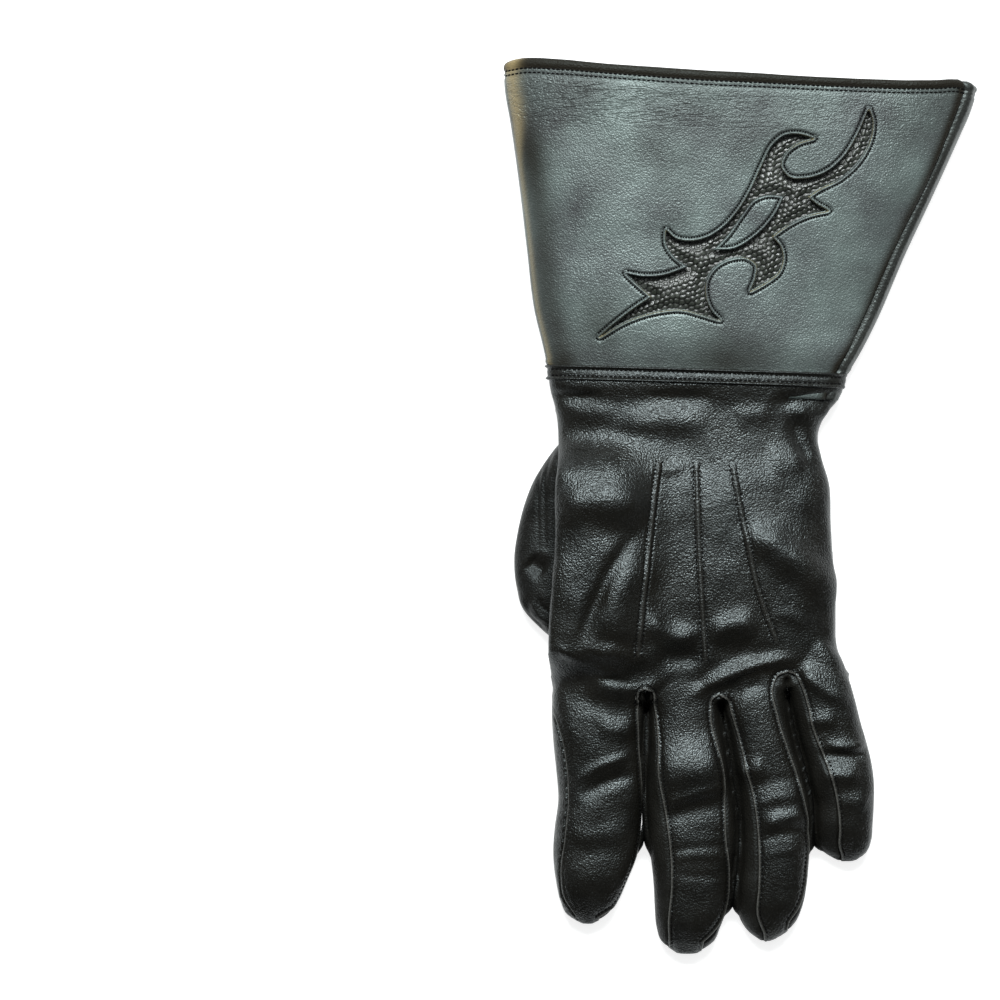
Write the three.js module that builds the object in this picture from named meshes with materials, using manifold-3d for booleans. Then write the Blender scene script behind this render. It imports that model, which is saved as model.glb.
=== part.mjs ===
import * as THREE from "three";
import { mergeVertices } from "three/addons/utils/BufferGeometryUtils.js";
import Module from "manifold-3d";

// A leather gauntlet glove for the left hand, lying palm down, in millimetres.
// +Y runs from the fingertips to the mouth of the cuff, +X to the little finger, +Z up from the surface.
// Y is 0 at the wrist seam, and X is 0 on the palm's centre line, until the glove is centred at the end.

// Leather
const handLeather = 1.4;
const cuffLeather = 1.8;
const inlayLeather = 1.1;
const clearance = 0.3; // between neighbouring pieces

// Palm, from the wrist seam to the roots of the fingers
const palmLength = 119;
const palmWidth = 112;
const palmHeight = 21;
const rootSetback = 9; // how far the knuckle line falls back at the little finger

// Fingers and thumb, each length from its root
const indexLength = 88;
const middleLength = 99;
const ringLength = 97;
const littleLength = 71.5;
const fingerHeight = 17;
const thumbLength = 78;
const thumbWidth = 34;
const thumbHeight = 14;

// Raised points sewn on the back of the hand
const pointWidth = 2.4;
const pointRise = 1;

// Fourchettes: the round head of each, between two fingers
const crotchWidth = 5;
const crotchDepth = 2.2;

// Cuff, from the wrist seam to its mouth
const cuffLength = 121; // along the thumb's side
const cuffSlant = 11; // by which the little finger's side is shorter
const mouthWidth = 177;
const mouthHeight = 30;
const hemWidth = 6.5; // leather turned in at the mouth
const cuffTuck = 6; // length of the cuff inside the hand
const sideSeamInset = 4.5; // side seam's distance from the little finger's edge, on top
const underSeamInset = 9; // other side seam's distance from the thumb's edge, underneath

// Band over the wrist seam
const bandWidth = 5.6;
const bandThickness = 1.2;

// Flame ornament cut through the back of the cuff
const ornamentWidth = 102;
const ornamentX = 12.5; // its middle, from the centre line
const ornamentY = 58.5; // its middle, from the wrist seam
const inlayMargin = 4; // by which the patch behind it is wider

const wasm = await Module();
wasm.setup();

// Rows with named columns
function table(columns, ...lines) {
  const names = columns.split(" ");
  return lines.map((line) => Object.fromEntries(names.map((name, i) => [name, line[i]])));
}

// The palm's sections: along is a share of palmLength, left and right of palmWidth,
// base and top of palmHeight
const palmTable = table(
  "along left right base top",
  [-0.015, -0.506, 0.482, 0.1, 0.93],
  [0.03, -0.506, 0.48, 0.1, 0.95],
  [0.055, -0.504, 0.479, 0.09, 0.95],
  [0.085, -0.495, 0.463, 0.03, 0.95],
  [0.12, -0.489, 0.428, 0, 0.9],
  [0.195, -0.482, 0.4, 0, 0.9],
  [0.275, -0.486, 0.414, 0, 0.95],
  [0.36, -0.495, 0.438, 0, 1],
  [0.5, -0.495, 0.445, 0, 1],
  [0.63, -0.502, 0.452, 0, 1],
  [0.745, -0.512, 0.46, 0, 0.98],
  [0.84, -0.514, 0.462, 0, 0.95],
  [0.9, -0.51, 0.48, 0, 0.92],
  [0.95, -0.505, 0.5, 0, 0.84],
  [1, -0.5, 0.512, 0, 0.72],
);

// The fingers' sections: along is a share of the finger's length, left and right of its width,
// base and top of fingerHeight; seamLeft and seamRight are the back seams' distance from the two edges,
// as shares of the section
const fingerColumns = "along left right base top seamLeft seamRight";
const fingers = [
  {
    name: "index",
    root: -0.344,
    width: 0.3155,
    length: indexLength,
    rows: table(
      fingerColumns,
      [-0.12, -0.42, 0.42, 0.02, 0.95, 0.09, 0.09],
      [-0.03, -0.48, 0.47, 0, 1, 0.09, 0.09],
      [0.04, -0.5, 0.5, 0, 1.02, 0.09, 0.09],
      [0.215, -0.49, 0.495, 0, 1.02, 0.09, 0.09],
      [0.35, -0.455, 0.48, 0, 0.93, 0.09, 0.09],
      [0.475, -0.435, 0.473, 0, 0.98, 0.1, 0.1],
      [0.58, -0.47, 0.46, 0, 0.92, 0.1, 0.12],
      [0.69, -0.49, 0.43, 0, 0.93, 0.12, 0.14],
      [0.82, -0.457, 0.306, 0, 0.85, 0.14, 0.18],
      [0.91, -0.403, 0.2, 0.03, 0.7, 0.16, 0.22],
      [0.965, -0.328, 0.09, 0.1, 0.54, 0.25, 0.3],
      [1, -0.18, -0.05, 0.22, 0.4, 0.4, 0.4],
    ),
  },
  {
    name: "middle",
    root: -0.056,
    width: 0.305,
    length: middleLength,
    rows: table(
      fingerColumns,
      [-0.12, -0.34, 0.34, 0.02, 0.97, 0.1, 0.1],
      [-0.03, -0.38, 0.37, 0, 1.02, 0.1, 0.12],
      [0.04, -0.394, 0.394, 0, 1.04, 0.1, 0.12],
      [0.19, -0.411, 0.472, 0, 1.05, 0.13, 0.11],
      [0.345, -0.428, 0.539, 0, 0.98, 0.16, 0.1],
      [0.46, -0.43, 0.594, 0, 1.03, 0.19, 0.12],
      [0.555, -0.4, 0.606, 0, 1, 0.21, 0.13],
      [0.65, -0.361, 0.583, 0, 0.93, 0.21, 0.12],
      [0.745, -0.333, 0.55, 0, 0.95, 0.21, 0.11],
      [0.825, -0.322, 0.5, 0, 0.88, 0.2, 0.12],
      [0.9, -0.3, 0.417, 0.02, 0.76, 0.18, 0.18],
      [0.96, -0.228, 0.33, 0.09, 0.58, 0.22, 0.28],
      [1, -0.06, 0.15, 0.22, 0.4, 0.4, 0.4],
    ),
  },
  {
    name: "ring",
    root: 0.185,
    width: 0.2477,
    length: ringLength,
    rows: table(
      fingerColumns,
      [-0.12, -0.38, 0.36, 0.02, 0.95, 0.1, 0.12],
      [-0.03, -0.42, 0.4, 0, 1, 0.11, 0.15],
      [0.067, -0.445, 0.445, 0, 1.02, 0.11, 0.17],
      [0.184, -0.384, 0.534, 0, 1.02, 0.14, 0.16],
      [0.34, -0.295, 0.678, 0, 0.95, 0.17, 0.13],
      [0.46, -0.219, 0.774, 0, 1, 0.2, 0.11],
      [0.576, -0.192, 0.78, 0, 0.97, 0.22, 0.11],
      [0.694, -0.212, 0.76, 0, 0.92, 0.25, 0.11],
      [0.79, -0.247, 0.726, 0, 0.9, 0.26, 0.12],
      [0.87, -0.24, 0.664, 0.02, 0.8, 0.27, 0.16],
      [0.93, -0.171, 0.568, 0.06, 0.66, 0.28, 0.24],
      [0.97, -0.062, 0.43, 0.12, 0.54, 0.32, 0.32],
      [1, 0.09, 0.25, 0.22, 0.4, 0.4, 0.4],
    ),
  },
  {
    name: "little",
    root: 0.404,
    width: 0.2307,
    length: littleLength,
    rows: table(
      fingerColumns,
      [-0.16, -0.4, 0.32, 0.02, 0.88, 0.12, 0.12],
      [-0.04, -0.44, 0.41, 0, 0.94, 0.14, 0.12],
      [0.053, -0.456, 0.456, 0, 0.96, 0.16, 0.12],
      [0.16, -0.426, 0.544, 0, 0.94, 0.2, 0.12],
      [0.266, -0.375, 0.618, 0, 0.93, 0.23, 0.12],
      [0.372, -0.309, 0.706, 0, 0.87, 0.26, 0.12],
      [0.479, -0.213, 0.779, 0, 0.92, 0.29, 0.12],
      [0.585, -0.147, 0.816, 0, 0.9, 0.32, 0.12],
      [0.69, -0.074, 0.816, 0, 0.86, 0.35, 0.12],
      [0.798, -0.059, 0.8, 0, 0.8, 0.35, 0.12],
      [0.904, -0.01, 0.77, 0.05, 0.66, 0.34, 0.14],
      [0.957, 0.088, 0.7, 0.11, 0.54, 0.36, 0.2],
      [1, 0.3, 0.54, 0.22, 0.4, 0.4, 0.4],
    ),
  },
];

// The thumb lies folded under the palm: along is a share of thumbLength, left and right of thumbWidth,
// base and top of thumbHeight
const thumbRoot = { x: -0.482, along: 0.217 }; // shares of palmWidth and palmLength
const thumbTable = table(
  "along left right base top",
  [-0.058, 0.156, 0.46, 0.43, 0.93],
  [0.01, -0.01, 0.489, 0.21, 1.14],
  [0.087, -0.144, 0.511, 0.07, 1.2],
  [0.175, -0.267, 0.522, 0, 1.14],
  [0.27, -0.356, 0.511, 0, 1.07],
  [0.417, -0.444, 0.489, 0, 1],
  [0.563, -0.489, 0.467, 0, 1],
  [0.709, -0.456, 0.467, 0, 0.97],
  [0.806, -0.389, 0.467, 0, 0.93],
  [0.893, -0.211, 0.456, 0.04, 0.86],
  [0.961, -0.022, 0.4, 0.11, 0.79],
  [1, 0.11, 0.3, 0.29, 0.57],
);

// Where the palm rides up over the thumb: start to end are shares of palmLength, inner and outer
// of palmWidth, raised of thumbHeight
const rideUp = {
  start: 0.17,
  full: 0.325,
  over: 0.865,
  end: 0.985,
  inner: -0.315,
  outer: -0.09,
  raised: 1.05,
};
const rideUpTop = 0.55; // share of it that the back of the hand rises

// Folds of the back of the hand: x and length are shares of palmWidth, along and width of palmLength,
// rise of palmHeight, turn in degrees from +X
const foldTable = table(
  "x along turn length width rise",
  [-0.353, 0.93, -27, 0.16, 0.045, 0.08],
  [0.153, 0.952, 18, 0.15, 0.045, 0.08],
  [-0.27, 0.68, -68, 0.16, 0.05, -0.11],
  [0.356, 0.618, -56, 0.12, 0.045, 0.08],
  [-0.095, 0.777, 0, 0.08, 0.045, 0.06],
  [0.119, 0.75, 0, 0.08, 0.04, 0.06],
  [-0.424, 0.09, -5, 0.11, 0.03, -0.09],
  [0.373, 0.1, 10, 0.11, 0.03, -0.09],
  [0, 0.135, 0, 0.28, 0.045, 0.05],
);

// The points on the back: each runs from one place to the other, x as shares of palmWidth,
// along of palmLength
const pointTable = table(
  "name startX startAlong endX endAlong",
  ["index", -0.1425, 0.28, -0.21, 0.882],
  ["middle", -0.0136, 0.28, 0.0136, 0.898],
  ["ring", 0.1086, 0.299, 0.251, 0.834],
);

// The cuff's sections: along is a share of its length, left and right of mouthWidth,
// base and top of mouthHeight
const cuffTable = table(
  "along left right base top",
  [0.07, -0.334, 0.34, 0.05, 0.64],
  [0.2, -0.351, 0.38, 0, 0.71],
  [0.4, -0.368, 0.437, 0, 0.8],
  [0.6, -0.384, 0.495, 0, 0.88],
  [0.8, -0.4026, 0.55, 0, 0.96],
  [0.92, -0.4155, 0.577, 0, 0.99],
  [0.965, -0.4165, 0.5835, 0, 1],
  [0.987, -0.413, 0.581, 0, 1],
  [1, -0.4, 0.568, 0, 0.985],
);

// The ornament's outline, one line per stretch between two sharp corners, as shares of ornamentWidth
const ornamentStretches = [
  [[0.493, 0.434], [0.515, 0.392], [0.493, 0.2], [0.41, 0.12], [0.304, 0.095]],
  [[0.304, 0.095], [0.36, 0.037]],
  [[0.36, 0.037], [0.245, -0.015], [0.141, -0.055]],
  [[0.141, -0.055], [0.187, -0.12], [0.157, -0.21], [0.063, -0.26]],
  [[0.063, -0.26], [0.074, -0.17], [0.03, -0.137], [-0.085, -0.215], [-0.085, -0.29], [-0.048, -0.363]],
  [[-0.048, -0.363], [-0.17, -0.342], [-0.36, -0.36], [-0.504, -0.434]],
  [[-0.504, -0.434], [-0.4, -0.33], [-0.311, -0.274]],
  [[-0.311, -0.274], [-0.404, -0.196]],
  [[-0.404, -0.196], [-0.3, -0.19], [-0.185, -0.163]],
  [[-0.185, -0.163], [-0.27, -0.08], [-0.267, -0.015]],
  [[-0.267, -0.015], [-0.207, -0.052], [-0.067, -0.022], [0.03, 0.1], [0.085, 0.215], [0.18, 0.326],
    [0.3, 0.304]],
  [[0.3, 0.304], [0.215, 0.267], [0.174, 0.2], [0.29, 0.175], [0.42, 0.285], [0.463, 0.423],
    [0.493, 0.434]],
];

// The leaf of plain leather that lies inside the ornament, as shares of ornamentWidth
const leafStretches = [
  [[0.182, 0.093], [0.096, -0.022], [-0.044, -0.111], [-0.078, -0.107]],
  [[-0.078, -0.107], [-0.02, -0.05], [0.063, 0.056], [0.104, 0.093], [0.182, 0.093]],
];

// Corners of the patch behind the ornament, as shares of ornamentWidth, before inlayMargin is added
const patchCorners = [
  [0.5, 0.44],
  [0.53, 0.2],
  [0.38, 0],
  [0.2, -0.26],
  [-0.05, -0.39],
  [-0.51, -0.45],
  [-0.43, -0.17],
  [-0.29, 0.02],
  [0.02, 0.22],
  [0.18, 0.35],
];

// Small helpers
const between = (a, b, share) => a + (b - a) * share;

function ease(from, to, value) {
  const share = Math.min(1, Math.max(0, (value - from) / (to - from)));
  return share * share * (3 - 2 * share);
}

function solidFrom(points, triangles) {
  const geometry = new THREE.BufferGeometry();
  geometry.setAttribute("position", new THREE.Float32BufferAttribute(points.flat(), 3));
  geometry.setIndex(triangles.flat());
  return solidOf(geometry);
}

function solidOf(geometry) {
  geometry.deleteAttribute("normal");
  geometry.deleteAttribute("uv");
  const merged = mergeVertices(geometry, 1e-4);
  return new wasm.Manifold(
    new wasm.Mesh({
      numProp: 3,
      vertProperties: merged.attributes.position.array,
      triVerts: new Uint32Array(merged.index.array),
    }),
  );
}

// The largest body of a cut solid, without the crumbs that the cut may leave
function mainBody(solid) {
  return solid.decompose().reduce((a, b) => (a.volume() > b.volume() ? a : b));
}

const joined = (...solids) => solids.reduce((a, b) => a.add(b));

// A skin over closed rings of as many points each, which follow each other towards -Y
function loft(rings) {
  const count = rings[0].length;
  const points = rings.flat();
  const triangles = [];
  for (let r = 0; r + 1 < rings.length; r++) {
    for (let i = 0; i < count; i++) {
      const a = r * count + i;
      const b = r * count + ((i + 1) % count);
      triangles.push([a, b, b + count], [a, b + count, a + count]);
    }
  }
  const middleOf = (ring) => [0, 1, 2].map((k) => ring.reduce((sum, p) => sum + p[k], 0) / count);
  const first = points.push(middleOf(rings[0])) - 1;
  const last = points.push(middleOf(rings.at(-1))) - 1;
  const end = (rings.length - 1) * count;
  for (let i = 0; i < count; i++) {
    const next = (i + 1) % count;
    triangles.push([first, next, i], [last, end + i, end + next]);
  }
  return solidFrom(points, triangles);
}

// Half-height of a flattened round section at a share of its half-width
const roundness = 2.5;
const swell = (share) => (1 - Math.min(1, Math.abs(share)) ** roundness) ** (1 / roundness);

// Shares of the half-width from one edge to the other, closer together near the edges
function spread(count) {
  const shares = [];
  for (let i = 0; i <= count; i++) {
    const even = 1 - (2 * i) / count;
    shares.push(between(even, Math.cos((Math.PI * i) / count), 0.6));
  }
  return shares;
}

// A section's outline in X and Z: domed on top, pressed flat underneath, and smaller all round by inset
const beltShare = 0.42; // height of its widest place
const pressShare = 1.35; // how far it would bulge below if nothing pressed it flat

function sectionAt(section, inset, topCount, underCount) {
  const middle = (section.left + section.right) / 2;
  const half = (section.right - section.left) / 2 - inset;
  const low = section.base + inset;
  const high = section.top - inset;
  const belt = between(low, high, beltShare);
  const top = spread(topCount).map((share) => ({
    x: middle + half * share,
    z: belt + (high - belt) * swell(share),
    crown: swell(share),
  }));
  const under = spread(underCount)
    .slice(1, -1)
    .reverse()
    .map((share) => ({
      x: middle + half * share,
      z: Math.max(low, belt - (belt - low) * pressShare * swell(share)),
      crown: 0,
    }));
  return [...top, ...under];
}

// A table's row in millimetres, at any share along it
function rowAt(rows, along) {
  const last = rows.length - 1;
  let i = 0;
  while (i < last - 1 && rows[i + 1].along < along) i++;
  const share = Math.min(1, Math.max(0, (along - rows[i].along) / (rows[i + 1].along - rows[i].along)));
  const entries = Object.keys(rows[i]).map((key) => [key, between(rows[i][key], rows[i + 1][key], share)]);
  return { ...Object.fromEntries(entries), along };
}

function sized(row, width, height, centre = 0) {
  return {
    ...row,
    left: centre + row.left * width,
    right: centre + row.right * width,
    base: row.base * height,
    top: row.top * height,
  };
}

// How far the palm is raised over the thumb at a place
function rise(x, y) {
  const along = -y / palmLength;
  const across = x / palmWidth;
  const share =
    ease(rideUp.start, rideUp.full, along) *
    (1 - ease(rideUp.over, rideUp.end, along)) *
    (1 - ease(rideUp.inner, rideUp.outer, across));
  return rideUp.raised * thumbHeight * share;
}

function foldAt(x, y) {
  let height = 0;
  for (const fold of foldTable) {
    const turn = THREE.MathUtils.degToRad(fold.turn);
    const dx = x - fold.x * palmWidth;
    const dy = y + fold.along * palmLength;
    const u = (dx * Math.cos(turn) + dy * Math.sin(turn)) / (fold.length * palmWidth);
    const v = (dy * Math.cos(turn) - dx * Math.sin(turn)) / (fold.width * palmLength);
    height += fold.rise * palmHeight * Math.exp(-u * u - v * v);
  }
  return height;
}

// Share of rootSetback by which the knuckle line falls back, from the middle finger to the little finger
const knuckleTurn = { from: 0.06, to: 0.52 }; // shares of palmWidth

function knuckleShare(x) {
  return Math.max(0, (x / palmWidth - knuckleTurn.from) / (knuckleTurn.to - knuckleTurn.from));
}

// A ring of the hand: the section at a place, with the hand's folds and its ride over the thumb
function handRing(section, y, inset, topCount, underCount, setback = 0) {
  return sectionAt(section, inset, topCount, underCount).map(({ x, z, crown }) => {
    const placeY = y + setback * knuckleShare(x);
    const lifted = rise(x, placeY) * between(1, rideUpTop, crown);
    return [x, placeY, z + lifted + foldAt(x, placeY) * crown];
  });
}

const wideTopCount = 16;
const wideUnderCount = 10;
const hollowTopCount = 10;
const hollowUnderCount = 8;
const palmSection = (along) => sized(rowAt(palmTable, along), palmWidth, palmHeight);

function palmSolid(inset, wristReach = 0) {
  const rings = palmTable.map((row, i) => {
    const section = palmSection(row.along);
    const reach = i === 0 ? wristReach : 0;
    const shortened = i === palmTable.length - 1 ? inset : 0;
    const y = -row.along * palmLength + reach + shortened;
    const counts = inset > 0 ? [hollowTopCount, hollowUnderCount] : [wideTopCount, wideUnderCount];
    return handRing(section, y, inset, ...counts, rootSetback * row.along);
  });
  return loft(rings);
}

const fingerTopCount = 9;
const fingerUnderCount = 5;
const fingerHollowTopCount = 7;
const fingerHollowUnderCount = 4;
const rootY = (finger) => -palmLength + rootSetback * knuckleShare(finger.root * palmWidth);

function fingerSections(finger) {
  const width = finger.width * palmWidth;
  return finger.rows.map((row) => ({
    ...sized(row, width, fingerHeight, finger.root * palmWidth),
    y: rootY(finger) - row.along * finger.length,
  }));
}

function fingerSolid(finger, inset) {
  const sections = fingerSections(finger);
  const tip = sections.length - 1;
  const everyOther = (_, i) => i < tip && (i === 0 || (tip - 1 - i) % 2 === 0);
  const kept = inset > 0 ? sections.filter(everyOther) : sections;
  const rings = kept.map((section, i) => {
    const shortened = inset > 0 && i === kept.length - 1 ? inset / 2 : 0;
    const topCount = inset > 0 ? fingerHollowTopCount : fingerTopCount;
    const underCount = inset > 0 ? fingerHollowUnderCount : fingerUnderCount;
    return handRing(section, section.y + shortened, inset, topCount, underCount);
  });
  return loft(rings);
}

function thumbSolid(inset) {
  const kept = inset > 0 ? thumbTable.slice(0, -1) : thumbTable;
  const rings = kept.map((row) => {
    const section = sized(row, thumbWidth, thumbHeight, thumbRoot.x * palmWidth);
    const y = -thumbRoot.along * palmLength - row.along * thumbLength;
    return sectionAt(section, inset, fingerTopCount, fingerUnderCount).map(({ x, z }) => [x, y, z]);
  });
  return loft(rings);
}

// The hand's whole outside or inside
function handSolid(inset, wristReach = 0) {
  return joined(palmSolid(inset, wristReach), ...fingers.map((finger) => fingerSolid(finger, inset)));
}

// An upright prism over an outline in X and Y
function prism(outline, low, high) {
  const shape = new THREE.Shape(outline.map(([x, y]) => new THREE.Vector2(x, y)));
  const geometry = new THREE.ExtrudeGeometry(shape, { depth: high - low, bevelEnabled: false });
  geometry.translate(0, 0, low);
  return solidOf(geometry);
}

// Between two fingers, the region from one back seam to the other, wider on both sides by a margin
const belowAll = -20;
const aboveAll = 80;

function betweenFingers(first, second, margin) {
  const firstSections = fingerSections(first).slice(2);
  const secondSections = fingerSections(second).slice(2);
  const seamOfFirst = firstSections.map((s) => [s.right - (s.right - s.left) * s.seamRight - margin, s.y]);
  const seamOfSecond = secondSections.map((s) => [s.left + (s.right - s.left) * s.seamLeft + margin, s.y]);
  const crotchX = (firstSections[0].right + secondSections[0].left) / 2;
  const crotchY = -palmLength + rootSetback * knuckleShare(crotchX) + crotchDepth + margin;
  const crotch = [
    [crotchX + crotchWidth / 2 + margin, crotchY],
    [crotchX - crotchWidth / 2 - margin, crotchY],
  ];
  const pastTip = 4 * handLeather;
  const outFirst = [seamOfFirst.at(-1)[0], seamOfFirst.at(-1)[1] - pastTip];
  const outSecond = [seamOfSecond.at(-1)[0], seamOfSecond.at(-1)[1] - pastTip];
  const outline = [...crotch, ...seamOfFirst, outFirst, outSecond, ...seamOfSecond.reverse()];
  return prism(outline, belowAll, aboveAll);
}

// The hand's palm side: below the belt of the sections, and wrapped over the index finger's edge
// on its back, where the seam lies inset millimetres from the edge
const wrapStart = { along: 0.12, inset: -2 };
const wrapFull = { along: 0.35, inset: 3.5 };
const beltRise = 0.8; // share of the palm's rise over the thumb that the belt follows
const handReach = 0.65; // share of palmWidth that takes in the whole hand on both sides

function palmSide(margin) {
  const index = fingerSections(fingers[0]);
  const wristEnd = palmTable[0];
  const stations = palmTable.slice(0, -1).map((row) => {
    const section = palmSection(row.along);
    return { section, y: -row.along * palmLength, edge: section.left + wrapStart.inset };
  });
  for (const s of index.slice(2)) {
    const share = ease(wrapStart.along, wrapFull.along, s.along);
    const inset = between(wrapStart.inset, wrapFull.inset, share);
    stations.push({ section: s, y: s.y, edge: s.left + Math.min(inset, (s.right - s.left) / 3) });
  }
  stations[0].y = -wristEnd.along * palmLength + cuffTuck;
  stations.push({ ...stations.at(-1), y: rootY(fingers[1]) - middleLength - cuffTuck });
  const columns = 11;
  const rings = stations.map(({ section, y, edge }) => {
    const belt = section.base + (section.top - section.base) * beltShare + margin;
    const wide = palmWidth * handReach;
    const cutX = edge + margin;
    const upper = [];
    for (let i = 0; i <= columns; i++) {
      const x = between(wide, cutX, i / columns);
      upper.push([x, y, belt + rise(x, y) * beltRise]);
    }
    const wrap = [[cutX, y, aboveAll], [-wide, y, aboveAll]];
    return [[wide, y, belowAll], ...upper, ...wrap, [-wide, y, belowAll]];
  });
  return loft(rings);
}

// Narrow ridges of pinched leather on the back, lower at their edges and ends
const edgeShare = 0.6;
const endShare = 0.2;

function pointSolid(point) {
  const stations = 5;
  const rings = [];
  const dx = (point.endX - point.startX) * palmWidth;
  const dy = (point.startAlong - point.endAlong) * palmLength;
  const across = [dy / Math.hypot(dx, dy), -dx / Math.hypot(dx, dy)];
  for (let i = 0; i <= stations; i++) {
    const share = i / stations;
    const x = between(point.startX, point.endX, share) * palmWidth;
    const y = -between(point.startAlong, point.endAlong, share) * palmLength;
    const section = palmSection(-y / palmLength);
    const belt = between(section.base, section.top, beltShare);
    const corner = (offset, height) => {
      const px = x + offset * across[0] * pointWidth;
      const py = y + offset * across[1] * pointWidth;
      const crown = swell((px - (section.left + section.right) / 2) / ((section.right - section.left) / 2));
      const top = belt + (section.top - belt) * crown + foldAt(px, py) * crown;
      return [px, py, top + rise(px, py) * between(1, rideUpTop, crown) + height];
    };
    const full = Math.min(1, Math.min(i, stations - i) + endShare) * pointRise;
    const sunk = -handLeather / 2;
    rings.push([
      corner(-0.5, sunk),
      corner(-0.5, full * edgeShare),
      corner(0, full),
      corner(0.5, full * edgeShare),
      corner(0.5, sunk),
    ]);
  }
  return loft(rings);
}

// Hand: one hollow skin, cut along its seams into back, palm and the fourchettes between the fingers
const handOutside = handSolid(0);
const handInside = handSolid(handLeather, cuffTuck);
const thumbInside = thumbSolid(handLeather);
const handSkin = handOutside.subtract(handInside).subtract(thumbInside);
const fingerPairs = [
  [fingers[0], fingers[1]],
  [fingers[1], fingers[2]],
  [fingers[2], fingers[3]],
];
const gussetSpaces = joined(...fingerPairs.map(([a, b]) => betweenFingers(a, b, clearance)));
const handWithoutGussets = handSkin.subtract(gussetSpaces);
const handPalm = mainBody(handWithoutGussets.intersect(palmSide(0)));
const points = pointTable.map(pointSolid);
const handBack = mainBody(joined(handWithoutGussets.subtract(palmSide(clearance)), ...points));
const fourchettes = fingerPairs.map(([a, b]) => mainBody(handSkin.intersect(betweenFingers(a, b, 0))));

// Thumb: its own tube, open into the palm
const palmKeepOut = palmSolid(-clearance);
const thumb = mainBody(thumbSolid(0).subtract(thumbInside).subtract(palmKeepOut));

// Cuff: its narrow end slips inside the hand
const cuffTopCount = 14;
const cuffUnderCount = 8;
const slip = handLeather + clearance;

function tuckedSection(y) {
  const { left, right, base, top } = palmSection(-y / palmLength);
  const within = slip + clearance / 2;
  return {
    along: y / cuffLength,
    left: left + within,
    right: right - within,
    base: base + within,
    top: top - within,
  };
}
const tuckedPlaces = [-cuffTuck, -cuffTuck / 2, 0, bandWidth / 2];
const cuffSections = [
  ...tuckedPlaces.map(tuckedSection),
  ...cuffTable.map((row) => sized(row, mouthWidth, mouthHeight)),
];

function cuffRing(section, inset) {
  return sectionAt(section, inset, cuffTopCount, cuffUnderCount).map(({ x, z, crown }) => {
    const across = (x - mouthWidth * cuffTable.at(-1).left) / mouthWidth;
    const length = cuffLength - cuffSlant * across * Math.max(0, section.along);
    const y = section.along * length;
    const likeHand = 1 - ease(0, 0.12, section.along);
    return [x, y, z + foldAt(x, y) * crown * likeHand];
  });
}

const cuffSolid = (inset) => loft([...cuffSections].reverse().map((section) => cuffRing(section, inset)));

// The cuff's hollow runs out past both ends, and is narrower where the mouth is turned in
const hemLeather = 1.1; // the turned-in edge is pared thinner
const hollowReach = 0.04; // share of cuffLength

function cuffHollow() {
  const end = cuffSections[0];
  const mouth = cuffSections.at(-1);
  const hemAlong = 1 - hemWidth / cuffLength;
  const hemStep = clearance / cuffLength;
  const beforeHem = cuffSections.filter((s) => s.along < hemAlong);
  const atHem = rowAt(cuffSections, hemAlong);
  const afterHem = cuffSections.filter((s) => s.along > hemAlong + 2 * hemStep);
  const pastEnd = { ...end, along: end.along - hollowReach };
  const pastMouth = { ...mouth, along: mouth.along + hollowReach };
  const hemInset = cuffLeather + hemLeather;
  const rings = [
    ...[pastEnd, ...beforeHem, atHem].map((s) => cuffRing(s, cuffLeather)),
    ...[{ ...atHem, along: hemAlong + hemStep }, ...afterHem, pastMouth].map((s) => cuffRing(s, hemInset)),
  ];
  return loft(rings.reverse());
}

// The cuff's palm side: underneath, from the under seam round the little finger's edge
// to the side seam on top
function cuffPalmSide(margin) {
  const reach = 2 * cuffTuck; // past the cuff's ends and edge
  const stations = cuffSections.map((s, i) => {
    const past = i === 0 ? -reach : i === cuffSections.length - 1 ? reach : 0;
    return { ...s, y: s.along * cuffLength + past };
  });
  const rings = stations.reverse().map((s) => {
    const belt = between(s.base, s.top, beltShare);
    const under = s.left + underSeamInset - margin;
    const side = s.right - sideSeamInset - margin;
    const out = s.right + reach;
    return [
      [out, s.y, belowAll],
      [out, s.y, aboveAll],
      [side, s.y, aboveAll],
      [side, s.y, belt],
      [under, s.y, belt],
      [under, s.y, belowAll],
    ];
  });
  return loft(rings);
}

// Outlines of the ornament, its leaf and its patch
const curveSteps = 3;

function ornamentPlace([x, y]) {
  return [ornamentX + x * ornamentWidth, ornamentY + y * ornamentWidth];
}

function outlineOf(stretches) {
  const outline = [];
  for (const stretch of stretches) {
    const knots = stretch.map(ornamentPlace).map(([x, y]) => new THREE.Vector3(x, y, 0));
    const curve = new THREE.CatmullRomCurve3(knots, false, "centripetal");
    const steps = knots.length > 2 ? curveSteps * (knots.length - 1) : 1;
    for (let i = 0; i < steps; i++) {
      const place = curve.getPoint(i / steps);
      outline.push([place.x, place.y]);
    }
  }
  return outline;
}

function patchOutline() {
  return patchCorners.map((corner) => {
    const grown = 1 + inlayMargin / Math.hypot(corner[0] * ornamentWidth, corner[1] * ornamentWidth);
    return ornamentPlace([corner[0] * grown, corner[1] * grown]);
  });
}

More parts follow.
